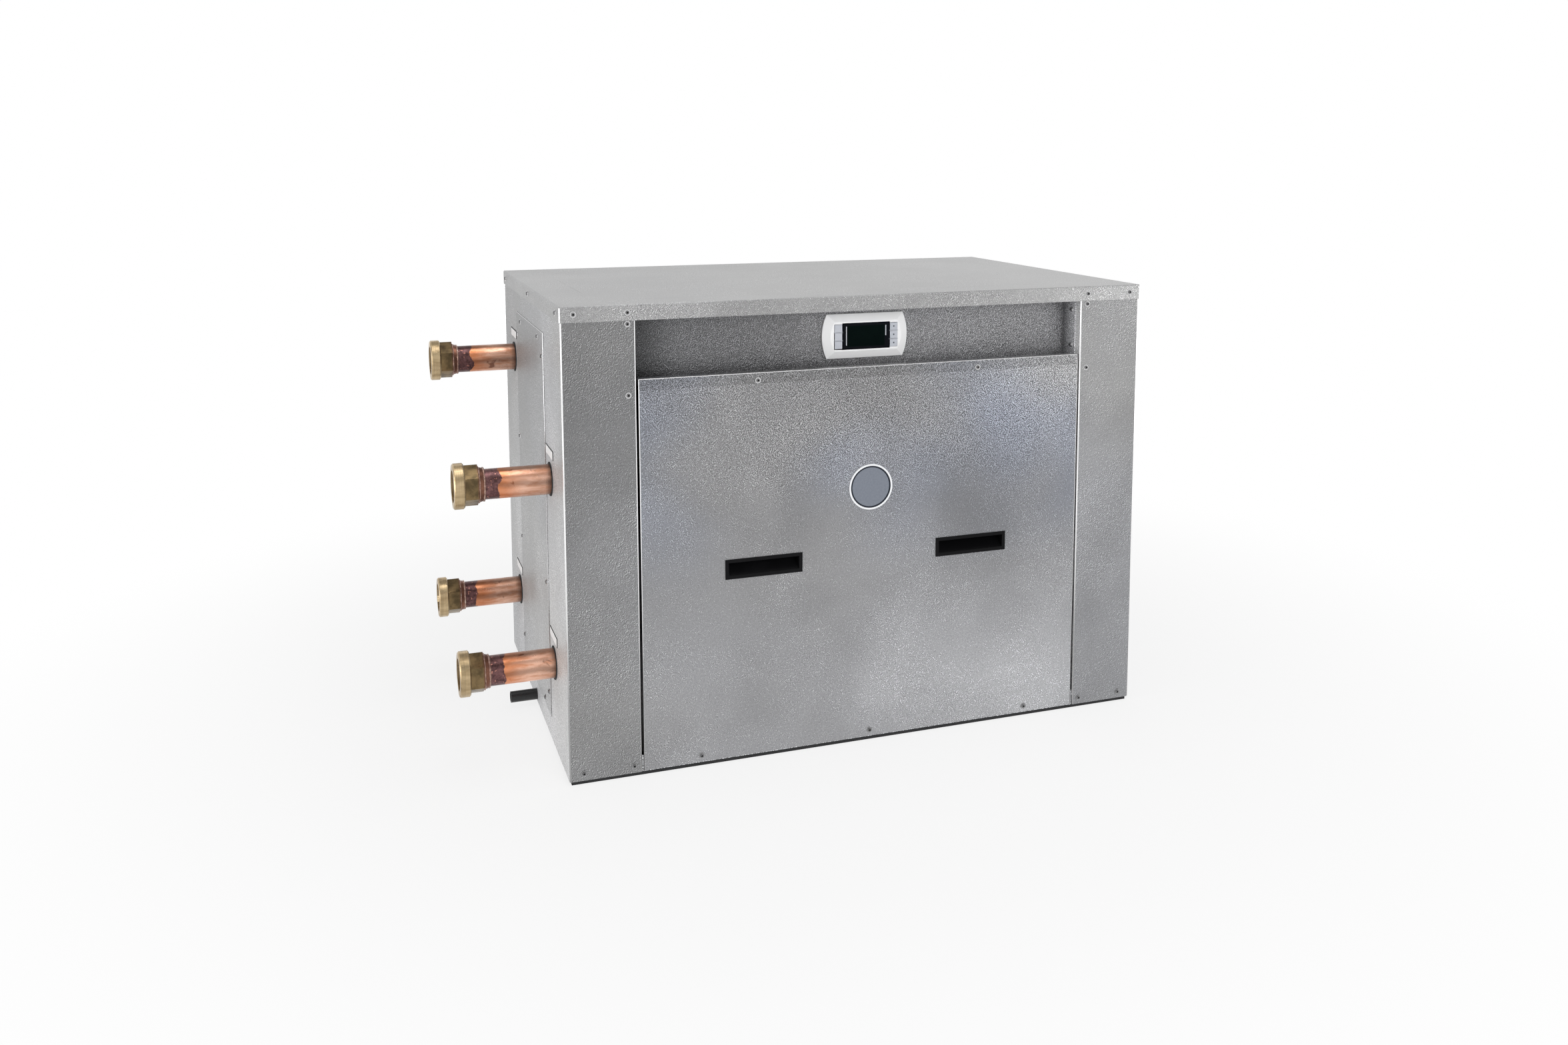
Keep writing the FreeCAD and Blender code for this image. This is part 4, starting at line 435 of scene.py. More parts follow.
def shape_tree(name, sizes):
    """An empty Geometry Nodes tree: the tree, its inputs and its output socket."""
    tree = bpy.data.node_groups.new(name, "GeometryNodeTree")
    tree.interface.new_socket(name="Points", in_out="INPUT", socket_type="NodeSocketGeometry")
    for label in sizes:
        tree.interface.new_socket(name=label, in_out="INPUT", socket_type="NodeSocketFloat")
    tree.interface.new_socket(name="Shape", in_out="OUTPUT", socket_type="NodeSocketGeometry")
    return tree, tree.nodes.new("NodeGroupInput").outputs, tree.nodes.new("NodeGroupOutput").inputs["Shape"]


def placed(tree, points, form, turn):
    """Copies of a form on points, turned and made real."""
    copies = put(tree, "GeometryNodeInstanceOnPoints",
                 {"Points": points, "Instance": form, "Rotation": turn}).outputs[0]
    return put(tree, "GeometryNodeRealizeInstances", {"Geometry": copies}).outputs[0]


def coated(tree, form, finish):
    """A form with its material set."""
    return put(tree, "GeometryNodeSetMaterial", {"Geometry": form, "Material": finish}).outputs[0]


def grown(name, body, slot, tree, sizes, points, facing=None):
    """A plain mesh piece grown by a tree from points, riding on a body."""
    mesh = bpy.data.meshes.new(name)
    mesh.from_pydata(points, [], [])
    if facing:
        layer = mesh.attributes.new("facing", "FLOAT_VECTOR", "POINT")
        layer.data.foreach_set("vector", [part for way in facing for part in way])
    piece = bpy.data.objects.new(name, mesh)
    bpy.context.scene.collection.objects.link(piece)
    maker = piece.modifiers.new("maker", "NODES")
    maker.node_group = tree
    for item in tree.interface.items_tree:
        if item.name in sizes:
            maker[item.identifier] = sizes[item.name]
    ready = piece.evaluated_get(bpy.context.evaluated_depsgraph_get())
    plain = bpy.data.meshes.new_from_object(ready)
    piece.modifiers.remove(maker)
    piece.data = plain
    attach(piece, body)
    return piece


HEAD_HEIGHT = 0.0028
SCREW_SIZES = {"Washer Radius": 0.0056, "Washer Height": 0.001, "Head Radius": 0.004, "Crown Radius": 0.0031,
               "Head Height": HEAD_HEIGHT, "Socket Radius": 0.0021, "Socket Depth": 0.0018}
ROUND, HEXAGON, WASHER_TAPER, SHADE_DISC_LIFT = 32, 6, 0.93, 0.0001
screws, inside, result = shape_tree("washer_screw", SCREW_SIZES)
washer = put(screws, "GeometryNodeMeshCone", {
    "Vertices": ROUND, "Radius Top": sums(screws, "MULTIPLY", inside["Washer Radius"], WASHER_TAPER),
    "Radius Bottom": inside["Washer Radius"], "Depth": inside["Washer Height"]}).outputs["Mesh"]
head = put(screws, "GeometryNodeMeshCone", {
    "Vertices": ROUND, "Radius Top": inside["Crown Radius"], "Radius Bottom": inside["Head Radius"],
    "Depth": inside["Head Height"]}).outputs["Mesh"]
hollow = put(screws, "GeometryNodeMeshCylinder", {
    "Vertices": HEXAGON, "Radius": inside["Socket Radius"],
    "Depth": sums(screws, "MULTIPLY", inside["Socket Depth"], 2.0)}).outputs["Mesh"]
lift = put(screws, "ShaderNodeCombineXYZ", {"Z": inside["Head Height"]}).outputs[0]
hollow = put(screws, "GeometryNodeTransform", {"Geometry": hollow, "Translation": lift}).outputs[0]
opened = put(screws, "GeometryNodeMeshBoolean", {"Mesh 1": head, "Mesh 2": hollow},
             operation="DIFFERENCE").outputs[0]
sunk = sums(screws, "SUBTRACT", inside["Head Height"], inside["Socket Depth"])
floor_up = put(screws, "ShaderNodeCombineXYZ", {"Z": sums(screws, "ADD", sunk, SHADE_DISC_LIFT)}).outputs[0]
# The socket's floor: a dark disc, painted shade.
shade_disc = put(screws, "GeometryNodeMeshCircle", {"Vertices": HEXAGON, "Radius": inside["Socket Radius"]},
            fill_type="NGON").outputs[0]
shade_disc = put(screws, "GeometryNodeTransform", {"Geometry": shade_disc, "Translation": floor_up}).outputs[0]
way = put(screws, "GeometryNodeInputNamedAttribute", {"Name": "facing"}, data_type="FLOAT_VECTOR").outputs[0]
turn = put(screws, "FunctionNodeAlignRotationToVector", {"Vector": way}, axis="Z").outputs[0]
parts = put(screws, "GeometryNodeJoinGeometry")
for form, finish in ((washer, plated_zinc), (opened, dull_zinc), (shade_disc, socket_shade)):
    real = placed(screws, inside["Points"], form, turn)
    screws.links.new(coated(screws, real, finish), parts.inputs[0])
screws.links.new(parts.outputs[0], result)


def loose_solids(node):
    """The corner points, lowest corner and highest corner of each separate solid of a node."""
    form = bmesh.new()
    form.from_mesh(frame["nodes"][node].data)
    bmesh.ops.remove_doubles(form, verts=form.verts, dist=MERGE)
    found = []
    reached = set()
    for start in form.verts:
        if start in reached:
            continue
        reached.add(start)
        island = [start]
        for vert in island:
            fresh = [link.other_vert(vert) for link in vert.link_edges]
            fresh = [other for other in fresh if other not in reached]
            reached.update(fresh)
            island.extend(fresh)
        spots = [vert.co.copy() for vert in island]
        low = Vector([min(spot[axis] for spot in spots) for axis in range(3)])
        high = Vector([max(spot[axis] for spot in spots) for axis in range(3)])
        found.append((spots, low, high))
    form.free()
    return found


def screw_seats(node):
    """Where the heads of a node's screws sit, and the way that each one faces."""
    seats, ways = [], []
    for spots, low, high in loose_solids(node):
        axis = max(range(3), key=lambda number: high[number] - low[number])
        centre = (low + high) / 2
        lean = sum(spot[axis] for spot in spots) / len(spots) - centre[axis]
        way = Vector((0.0, 0.0, 0.0))
        way[axis] = math.copysign(1.0, lean)
        centre[axis] = (high if lean > 0 else low)[axis] - way[axis] * HEAD_HEIGHT
        seats.append(tuple(centre))
        ways.append(tuple(way))
    return seats, ways


for group in ("cabinet_screws", "front_panel_screws"):
    body = frame["nodes"][group]["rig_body"]
    piece = grown(f"{group}_turned", body, group, screws, SCREW_SIZES, *screw_seats(group))
    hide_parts(group)

# Front access panel: the sheet that lifts off for service, held by screws in its top band and foot.
# Its top band leans back, and zinc clouds show as cool patches across its upper half.
finish, tree, shader, where, look = zinc_sheet(
    "panel_zinc", (0.315, 0.315, 0.32), (0.282, 0.305, 0.364), clouds=1.0)
low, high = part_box("front_access_panel")
PANEL_FOLD, BAND_LEVEL, BAND_SOFT, BAND_TONE = 0.0016, high.z - 0.020, 0.0004, 0.78
CLOUDS_FROM, CLOUDS_FULL, FLAT_UNTIL, RIDGES_FULL = 0.30, 0.55, 0.43, 0.68
HEAD_FROM, FOOT_UNTIL, RIGHT_PART = 0.44, 0.46, 0.25
spot = axes(tree, where)
tree.links.new(ease(tree, spot["Z"], CLOUDS_FROM, CLOUDS_FULL, 0.1, 1.0), look.inputs["Clouds"])
low_contrast = ease(tree, spot["X"], low.x, high.x, 0.80, 0.92)
high_contrast = ease(tree, spot["X"], low.x, high.x, 2.5, 5.2)
contrast = ease(tree, spot["Z"], FLAT_UNTIL, RIDGES_FULL, low_contrast, high_contrast)
tree.links.new(contrast, look.inputs["Contrast"])
# Painted sheen and shade: the sheet is painted lighter at its foot, darker across its middle towards the
# right, lighter at its upper right, and its top band darker as shade under the lid.
foot_tone = ease(tree, spot["X"], low.x, RIGHT_PART, 1.08, 1.26)
middle_tone = ease(tree, spot["X"], -0.1, RIGHT_PART, 0.82, 0.64)
head_tone = ease(tree, spot["X"], 0.0, high.x, 0.86, 1.46)
graded(tree, shader, where, "Z", low.z, FOOT_UNTIL, foot_tone, middle_tone)
graded(tree, shader, where, "Z", HEAD_FROM, high.z, 1.0, head_tone)
graded(tree, shader, where, "X", low.x, high.x, 0.93, 1.08)
graded(tree, shader, where, "Z", BAND_LEVEL - BAND_SOFT, BAND_LEVEL + BAND_SOFT, 1.0, BAND_TONE)
rounded_copy("front_access_panel", finish, PANEL_FOLD, RIM, edge_finish=fold_highlight)

# Pull handles: black nylon cups pressed into slots in the panel.
# A flat frame covers the slot's edge, and the cup is deepest at its top.
black_nylon = moulded("black_nylon", (0.004, 0.004, 0.0045), (0.007, 0.007, 0.008), 900, 0.34, 0.5, 0.25,
                      {"Specular IOR Level": 0.09})
for handle in ("left_pull_handle", "right_pull_handle"):
    rounded_copy(handle, black_nylon, fold=0.0009, rim=0.0003, shortest=0.004)

# Badge: a round pressed plate with a bright rim and, inside it, a dark ring painted as the shade of a
# groove, left plain.
# Its sunken face is painted a cool grey.
finish, tree, shader, where = surface("badge_plate", {"Metallic": 0.7, "Roughness": 0.3})
badge_low, badge_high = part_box("badge_disc")
away = vectors(tree, "DISTANCE", where, tuple((badge_low + badge_high) / 2))
BADGE_FACE, BADGE_GROOVE, SOFT = 0.0362, 0.0392, 0.0003
speck = noise(tree, where, 260.0, detail=4.0)
plate = blended(tree, speck, (0.17, 0.19, 0.23, 1), (0.24, 0.26, 0.30, 1))
groove_shade = ease(tree, away, BADGE_FACE - SOFT, BADGE_FACE + SOFT)
plate = blended(tree, groove_shade, plate, (0.02, 0.024, 0.035, 1))
rim_mask = ease(tree, away, BADGE_GROOVE - SOFT, BADGE_GROOVE + SOFT)
tree.links.new(blended(tree, rim_mask, plate, (0.86, 0.87, 0.89, 1)), shader.inputs["Base Color"])
wear(finish, "badge_disc")

# Display: a white moulded frame on the tray, with a black window and three soft keys on each side.
# A board and a back box sit behind it, through a hole in the tray.
white_abs = moulded("white_abs", (0.90, 0.90, 0.905), (0.87, 0.87, 0.875), 1200, 0.28, 0.4, 0.06)
rounded_copy("display_bezel", white_abs, fold=0.0009, rim=0.0004, shortest=0.006)
black_glass = moulded("black_glass", (0.002, 0.003, 0.005), (0.003, 0.004, 0.007), 500, 0.06, 0.1, 0.02,
                      {"Specular IOR Level": 0.06})
rounded_copy("display_window", black_glass, fold=0.0008, rim=0.0003, shortest=0.006)


def slab(form, low, high, round_off):
    """Add a block with rounded edges to a form."""
    made = bmesh.ops.create_cube(form, size=1.0)["verts"]
    for vert in made:
        for axis in range(3):
            vert.co[axis] = high[axis] if vert.co[axis] > 0 else low[axis]
    edges = {edge for vert in made for edge in vert.link_edges}
    bmesh.ops.bevel(form, geom=list(edges), offset=round_off, offset_type="OFFSET", segments=3, profile=0.5,
                    affect="EDGES", clamp_overlap=True)


def added(name, form, body, finish):
    """A new piece made from a form, riding on a body."""
    mesh = bpy.data.meshes.new(name)
    form.to_mesh(mesh)
    form.free()
    mesh.materials.append(finish)
    piece = bpy.data.objects.new(name, mesh)
    bpy.context.scene.collection.objects.link(piece)
    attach(piece, body)


low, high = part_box("display_window")
display_body = frame["nodes"]["display_window"]["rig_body"]
PANE_SIDE, PANE_ENDS, PANE_PROUD, PANE_SUNK, BAR_TOP = 0.0042, 0.0095, 0.00025, 0.0005, 0.0050
lcd_glass = moulded("lcd_glass", (0.001, 0.004, 0.0035), (0.002, 0.006, 0.005), 300, 0.1, 0.16, 0.02,
                    {"Specular IOR Level": 0.02})
form = bmesh.new()
slab(form, (low.x + PANE_ENDS, low.y - PANE_PROUD, low.z + PANE_SIDE),
     (high.x - PANE_ENDS, low.y + PANE_SUNK, high.z - PANE_SIDE), round_off=0.0001)
added("display_pane", form, display_body, lcd_glass)
# Painted reflections: two light bars at the window's ends stand in for the reflections on the glass there.
end_reflection_finish = moulded("painted_reflection_trim", (0.50, 0.52, 0.55), (0.36, 0.38, 0.42), 600, 0.12, 0.25, 0.05,
                 {"Metallic": 0.8})
form = bmesh.new()
for start, width, foot in ((low.x + 0.0058, 0.0016, 0.0065), (high.x - 0.0080, 0.0020, 0.0225)):
    slab(form, (start, low.y - PANE_PROUD, low.z + foot),
         (start + width, low.y + PANE_SUNK, high.z - BAR_TOP), round_off=0.0002)
added("display_reflection_bars", form, display_body, end_reflection_finish)

KEY_TONE, KEY_WORN = (0.52, 0.54, 0.59), (0.46, 0.48, 0.53)
DOT_RADIUS, DOT_SOFT, DOT_TONE = 0.0016, 0.0002, (0.06, 0.07, 0.09, 1)
grey_keys, dotted_keys = [moulded(name, KEY_TONE, KEY_WORN, 1500, 0.4, 0.55, 0.15)
                          for name in ("grey_keys", "dotted_keys")]
tree = dotted_keys.node_tree
shader = tree.nodes["Principled BSDF"]
where = tree.nodes["Texture Coordinate"].outputs["Object"]
for row in ("top", "middle", "bottom"):
    low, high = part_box(f"right_{row}_key")
    away = vectors(tree, "DISTANCE", where, ((low.x + high.x) / 2, low.y, (low.z + high.z) / 2))
    dot = ease(tree, away, DOT_RADIUS - DOT_SOFT, DOT_RADIUS + DOT_SOFT, 1.0, 0.0)
    base = shader.inputs["Base Color"].links[0].from_socket
    tree.links.new(blended(tree, dot, base, DOT_TONE), shader.inputs["Base Color"])
    for side, finish in (("left", grey_keys), ("right", dotted_keys)):
        rounded_copy(f"{side}_{row}_key", finish, fold=0.0007, rim=0.0004, shortest=0.004)
KEY_GAP, WEB_SIDE, WEB_SUNK, WEB_DEPTH = 0.00025, 0.0005, 0.0006, 0.005
form = bmesh.new()
for side in ("left", "right"):
    for lower, upper in (("bottom", "middle"), ("middle", "top")):
        under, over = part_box(f"{side}_{lower}_key"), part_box(f"{side}_{upper}_key")
        slab(form, (under[0].x - WEB_SIDE, under[0].y + WEB_SUNK, under[1].z + KEY_GAP),
             (under[1].x + WEB_SIDE, under[0].y + WEB_DEPTH, over[0].z - KEY_GAP), round_off=0.0001)
added("key_webs", form, display_body, grey_keys)
wear(black_nylon, "display_back_box")
green_board = moulded("green_board", (0.02, 0.10, 0.04), (0.03, 0.14, 0.06), 300, 0.35, 0.5, 0.2)
wear(green_board, "display_board")

# Water pipes: drawn copper stubs, brazed to the exchangers inside and to the adapters outside.
# Brazing leaves a dark purple band next to each adapter, drawing leaves long streaks,
# and handling leaves brown stains.
tarnish, inside, result = group_tree(
    "tarnish",
    {"Vector": "v", "Clean": "c", "Dull": "c", "Stain": "c", "Stains": "f", "Size": "f"},
    {"Colour": "c", "Roughness": "f", "Height": "f"})
streaked = vectors(tarnish, "MULTIPLY", inside["Vector"], (0.25, 1.0, 1.0))
streak = noise(tarnish, streaked, inside["Size"], detail=5.0, roughness=0.65, distortion=0.3)
blot = noise(tarnish, inside["Vector"], 42.0, detail=3.0, distortion=0.5)
metal = blended(tarnish, ease(tarnish, streak, 0.38, 0.68), inside["Clean"], inside["Dull"])
stained = sums(tarnish, "MULTIPLY", ease(tarnish, blot, 0.62, 0.70), inside["Stains"])
tarnish.links.new(blended(tarnish, stained, metal, inside["Stain"]), result["Colour"])
tarnish.links.new(ease(tarnish, streak, 0.3, 0.7, 0.26, 0.42), result["Roughness"])
tarnish.links.new(streak, result["Height"])
TARNISH_BUMP, TARNISH_DEPTH = 0.12, 0.0004


def tarnished(name, clean, dull, stain, stains, size=120.0, plain=None):
    """A copper or brass finish: the material, its tree, shader, coordinates and look."""
    finish, tree, shader, where = surface(name, plain or {"Metallic": 1.0})
    look = put(tree, "ShaderNodeGroup", node_tree=tarnish)
    for label, value in (("Clean", (*clean, 1)), ("Dull", (*dull, 1)), ("Stain", (*stain, 1)),
                         ("Stains", stains), ("Size", size)):
        look.inputs[label].default_value = value
    tree.links.new(where, look.inputs["Vector"])
    drive(tree, shader, look.outputs, TARNISH_BUMP, TARNISH_DEPTH)
    return finish, tree, shader, where, look


COPPER, COPPER_DULL, COPPER_STAIN = (0.82, 0.50, 0.37), (0.64, 0.31, 0.19), (0.22, 0.10, 0.07)
line_copper = tarnished("line_copper", COPPER, COPPER_DULL, COPPER_STAIN, stains=0.5)[0]
finish, tree, shader, where, look = tarnished(
    "pipe_copper", COPPER, COPPER_DULL, COPPER_STAIN, stains=0.85)
ADAPTER_START, ADAPTER_END = [corner.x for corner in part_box("load_adapters")]
TINT_END, TINT_SOFT, TINT_WAVE, GLOW_WIDTH = ADAPTER_END + 0.026, 0.001, 0.030, 0.05
across = axes(tree, where)["X"]
wave = noise(tree, where, 34.0, detail=3.0, roughness=0.55)
wave = sums(tree, "MULTIPLY", sums(tree, "SUBTRACT", wave, 0.5), TINT_WAVE)
reach = sums(tree, "ADD", across, wave)
tint = ease(tree, reach, TINT_END - TINT_SOFT, TINT_END + TINT_SOFT, 1.0, 0.0)
glow_edge = ease(tree, reach, TINT_END, TINT_END + GLOW_WIDTH, 0.75, 0.0)
burn = ease(tree, noise(tree, where, 120.0, detail=5.0, roughness=0.7), 0.35, 0.65)
burn = blended(tree, burn, (0.085, 0.045, 0.045, 1), (0.20, 0.10, 0.10, 1))
fleck = ease(tree, noise(tree, where, 190.0, detail=1.0), 0.66, 0.72)
burn = blended(tree, fleck, burn, (0.50, 0.23, 0.18, 1))
warm = blended(tree, glow_edge, look.outputs["Colour"], (0.62, 0.20, 0.07, 1))
SHEET_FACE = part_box("left_side_panel")[0].x
# The copper is darker over its last stretch before the side sheet.
NEAR_SHEET_START, NEAR_SHEET_END, NEAR_SHEET_WAVE = SHEET_FACE - 0.014, SHEET_FACE - 0.001, 0.4
near_sheet = sums(tree, "ADD", across, sums(tree, "MULTIPLY", wave, NEAR_SHEET_WAVE))
near_sheet = ease(tree, near_sheet, NEAR_SHEET_START, NEAR_SHEET_END, 0.0, 0.75)
warm = blended(tree, near_sheet, warm, (0.14, 0.07, 0.05, 1))
# Painted reflection: by the way the copper faces, a dark top edge, a bright band on the upper flank, a dark
# band round the middle and a lighter lower half.
LAY_SWAY = 0.7
around = axes(tree, put(tree, "ShaderNodeNewGeometry").outputs["Normal"])["Z"]
sway = sums(tree, "MULTIPLY", sums(tree, "SUBTRACT", noise(tree, where, 14.0), 0.5), LAY_SWAY)
lay = sums(tree, "ADD", around, sway)
for start, end, dark, light in ((0.02, 0.40, 0.60, 1.22), (-0.36, -0.04, 1.80, 1.0),
                                (0.72, 0.98, 1.0, 0.55)):
    reflection_band = grey(tree, ease(tree, lay, start, end, dark, light))
    warm = blended(tree, 1.0, warm, reflection_band, "MULTIPLY")
tree.links.new(blended(tree, tint, warm, burn), shader.inputs["Base Color"])
graded(tree, shader, where, "Y", -0.1, 0.1, 1.0, 0.80)
wear(finish, "load_pipes", "source_pipes")
wear(line_copper, "discharge_line", "suction_line", "gas_lines", "liquid_lines")

# Threaded adapters: turned brass unions with a round mouth, a hexagon for the wrench and a brazing collar.
# Torch heat has browned the hexagon and collar, and turning has left fine rings on the mouth.
adapter_brass, tree, shader, where, look = tarnished(
    "adapter_brass", (0.55, 0.42, 0.25), (0.42, 0.31, 0.175), (0.14, 0.09, 0.05), stains=0.4, size=90.0)
MOUTH, HEX, MOUTH_SOFT = 0.019, 0.024, 0.0004
MOUTH_END, HEX_END = ADAPTER_START + MOUTH, ADAPTER_START + MOUTH + HEX
across = axes(tree, where)["X"]
rings = noise(tree, vectors(tree, "MULTIPLY", where, (1500.0, 8.0, 8.0)), 1.0)
ringed = grey(tree, ease(tree, rings, 0.3, 0.7, 0.82, 1.15))
turned = blended(tree, 1.0, look.outputs["Colour"], ringed, "MULTIPLY")
smudge = ease(tree, noise(tree, where, 45.0, detail=4.0, roughness=0.6), 0.35, 0.65)
hexed = blended(tree, smudge, (0.23, 0.16, 0.08, 1), (0.105, 0.075, 0.04, 1))
colour = blended(tree, ease(tree, across, MOUTH_END - MOUTH_SOFT, MOUTH_END + MOUTH_SOFT), turned, hexed)
scorch = noise(tree, where, 130.0, detail=4.0, roughness=0.65)
scorch = blended(tree, scorch, (0.11, 0.05, 0.04, 1), (0.30, 0.14, 0.09, 1))
colour = blended(tree, ease(tree, across, HEX_END - 0.004, HEX_END + 0.002), colour, scorch)
tree.links.new(colour, shader.inputs["Base Color"])
for pair in ("load_adapters", "source_adapters"):
    rounded_copy(pair, adapter_brass, fold=0.0008, rim=0.0004, shortest=0.006, smooth=True)

# Brazed joints and threads: filler has run out round each collar in a lumpy ring,
# and each mouth has an inside pipe thread, cut with a tap.
PIPE_RADIUS = 0.027
centres = []
for pair in ("load_pipes", "source_pipes"):
    low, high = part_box(pair)
    middle = (low.y + high.y) / 2
    centres += [(middle, low.z + PIPE_RADIUS), (middle, high.z - PIPE_RADIUS)]
braze_filler = tarnished("braze_filler", (0.46, 0.30, 0.24), (0.24, 0.13, 0.11), (0.60, 0.48, 0.42),
                         stains=1.0, size=220.0, plain={"Metallic": 0.75})[0]

ALONG_X = (0.0, math.pi / 2, 0.0)
LUMP_SCALE = 150.0
beads, inside, result = shape_tree("braze_bead", ("Ring Radius", "Bead Radius", "Lump Height"))
ring = put(beads, "GeometryNodeCurvePrimitiveCircle", {"Resolution": 120, "Radius": inside["Ring Radius"]})
profile = put(beads, "GeometryNodeCurvePrimitiveCircle", {"Resolution": 10, "Radius": inside["Bead Radius"]})
bead = put(beads, "GeometryNodeCurveToMesh", {"Curve": ring.outputs[0], "Profile Curve": profile.outputs[0]})
solid = placed(beads, inside["Points"], bead.outputs[0], ALONG_X)
lumps = noise(beads, put(beads, "GeometryNodeInputPosition").outputs[0], LUMP_SCALE, detail=3.0)
swell = sums(beads, "MULTIPLY", sums(beads, "SUBTRACT", lumps, 0.5), inside["Lump Height"])
offset = stretched(beads, put(beads, "GeometryNodeInputNormal").outputs[0], swell)
solid = put(beads, "GeometryNodeSetPosition", {"Geometry": solid, "Offset": offset}).outputs[0]
solid = put(beads, "GeometryNodeSetShadeSmooth", {"Geometry": solid}).outputs[0]
beads.links.new(coated(beads, solid, braze_filler), result)
pipe_body = frame["nodes"]["load_pipes"]["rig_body"]
for name, slot, ring_radius, bead_radius, lump, at in (
        ("collar_beads", "load_pipes", 0.0282, 0.0019, 0.0034, ADAPTER_END - 0.0006),
        ("shoulder_beads", "load_adapters", 0.0312, 0.0013, 0.0026, HEX_END + 0.0010)):
    grown(name, pipe_body, slot, beads,
          {"Ring Radius": ring_radius, "Bead Radius": bead_radius, "Lump Height": lump},
          [(at, y, z) for y, z in centres])

THREAD_SIZES = {"Thread Radius": 0.0284, "Thread Depth": 0.028, "Turns": 11.0, "Ridge Radius": 0.0009}
THREAD_INSET = 0.003
threads, inside, result = shape_tree("tapped_thread", THREAD_SIZES)
helix = put(threads, "GeometryNodeCurveSpiral", {
    "Resolution": 40, "Rotations": inside["Turns"], "Start Radius": inside["Thread Radius"],
    "End Radius": inside["Thread Radius"], "Height": inside["Thread Depth"]})
profile = put(threads, "GeometryNodeCurvePrimitiveCircle",
              {"Resolution": 4, "Radius": inside["Ridge Radius"]})
ridges = put(threads, "GeometryNodeCurveToMesh",
             {"Curve": helix.outputs[0], "Profile Curve": profile.outputs[0], "Fill Caps": True})
solid = placed(threads, inside["Points"], ridges.outputs[0], ALONG_X)
threads.links.new(coated(threads, solid, adapter_brass), result)
grown("mouth_threads", pipe_body, "load_adapters", threads, THREAD_SIZES,
      [(ADAPTER_START + THREAD_INSET, y, z) for y, z in centres])

# Pipe labels, drain tube and cable gland: a blank white label over each stub,
# a black plastic tube pushed out of the pan, and a black gland for the supply cable.
label_white = moulded("label_white", (0.96, 0.96, 0.96), (0.91, 0.91, 0.91), 300, 0.4, 0.55, 0.05)
# Painted shade at the labels' edges: their rounded edges are finished black, and black strips run along each
# label's front and top edges.
rounded_copy("port_tags", label_white, fold=0.0004, rim=0.00025, shortest=0.004, edge_finish=black_nylon)
FRONT_SHADE_WIDTH, TOP_SHADE_WIDTH, SHADE_PROUD, SHADE_ROUND = 0.0045, 0.0022, 0.0001, 0.00005
form = bmesh.new()
for _, low, high in loose_solids("port_tags"):
    outside, shade_line = low.x - SHADE_PROUD, low.y + FRONT_SHADE_WIDTH
    slab(form, (outside, low.y, low.z), (high.x, shade_line, high.z), SHADE_ROUND)
    slab(form, (outside, shade_line, high.z - TOP_SHADE_WIDTH), high, SHADE_ROUND)
added("tag_edge_shade", form, pipe_body, black_nylon)
black_pvc = moulded("black_pvc", (0.008, 0.008, 0.009), (0.014, 0.014, 0.015), 300, 0.22, 0.4, 0.1)
wear(black_pvc, "drain_tube")
rounded_copy("power_gland", black_nylon, fold=0.0008, rim=0.0004, shortest=0.006, smooth=True)

# Heat exchangers: packs of pressed stainless plates brazed with copper, on folded stands.
# Copper shows in the thin seams between the plates.
finish, tree, shader, where = surface("plate_pack", {"Metallic": 0.95})
PLATE_STEP, SEAM_START, SEAM_END = 0.00725, 0.0021, 0.0026
seam = ease(tree, sums(tree, "PINGPONG", axes(tree, where)["X"], PLATE_STEP), SEAM_START, SEAM_END)
steel = noise(tree, where, 50.0, detail=4.0)
steel = blended(tree, steel, (0.58, 0.58, 0.58, 1), (0.46, 0.46, 0.47, 1))
tree.links.new(blended(tree, seam, steel, (0.52, 0.30, 0.18, 1)), shader.inputs["Base Color"])
worn = ease(tree, noise(tree, where, 90.0, detail=3.0), 0.3, 0.7, 0.28, 0.45)
tree.links.new(worn, shader.inputs["Roughness"])
wear(finish, "load_exchanger", "source_exchanger")
wear(hidden_zinc, "exchanger_stands")

# Compressor: a welded shell under black paint, bolted down on feet with rubber grommets.
# It has a plastic terminal cover. Inside are the motor, its crankshaft, two bearing frames
# and a pair of machined scrolls.
black_paint = moulded("black_paint", (0.014, 0.014, 0.015), (0.03, 0.03, 0.03), 260, 0.3, 0.5, 0.3)
wear(black_paint, "compressor_feet", "compressor_shell", "compressor_cap")
wear(plated_zinc, "compressor_bolts")
wear(black_nylon, "terminal_cover")
finish, tree, shader, where = surface("laminations", {"Metallic": 0.8, "Roughness": 0.45})
up = axes(tree, where)["Z"]
low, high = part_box("motor_stator")
WINDING, WINDING_SOFT = 0.018, 0.001
CORE_FOOT, CORE_HEAD = low.z + WINDING, high.z - WINDING
core = sums(tree, "MULTIPLY", ease(tree, up, CORE_FOOT - WINDING_SOFT, CORE_FOOT + WINDING_SOFT),
            ease(tree, up, CORE_HEAD - WINDING_SOFT, CORE_HEAD + WINDING_SOFT, 1.0, 0.0))
SHEET_STEP = 0.0005
stripe = ease(tree, sums(tree, "PINGPONG", up, SHEET_STEP), 0.0001, 0.0004)
stack = blended(tree, stripe, (0.20, 0.20, 0.21, 1), (0.36, 0.36, 0.37, 1))
tree.links.new(blended(tree, core, (0.45, 0.17, 0.06, 1), stack), shader.inputs["Base Color"])
wear(finish, "motor_stator")
cast_iron = moulded("machined_iron", (0.30, 0.30, 0.31), (0.38, 0.38, 0.39), 340, 0.3, 0.5, 0.25,
                    {"Metallic": 0.9})
wear(cast_iron, "motor_crankshaft", "bearing_frames", "orbiting_scroll", "fixed_scroll")

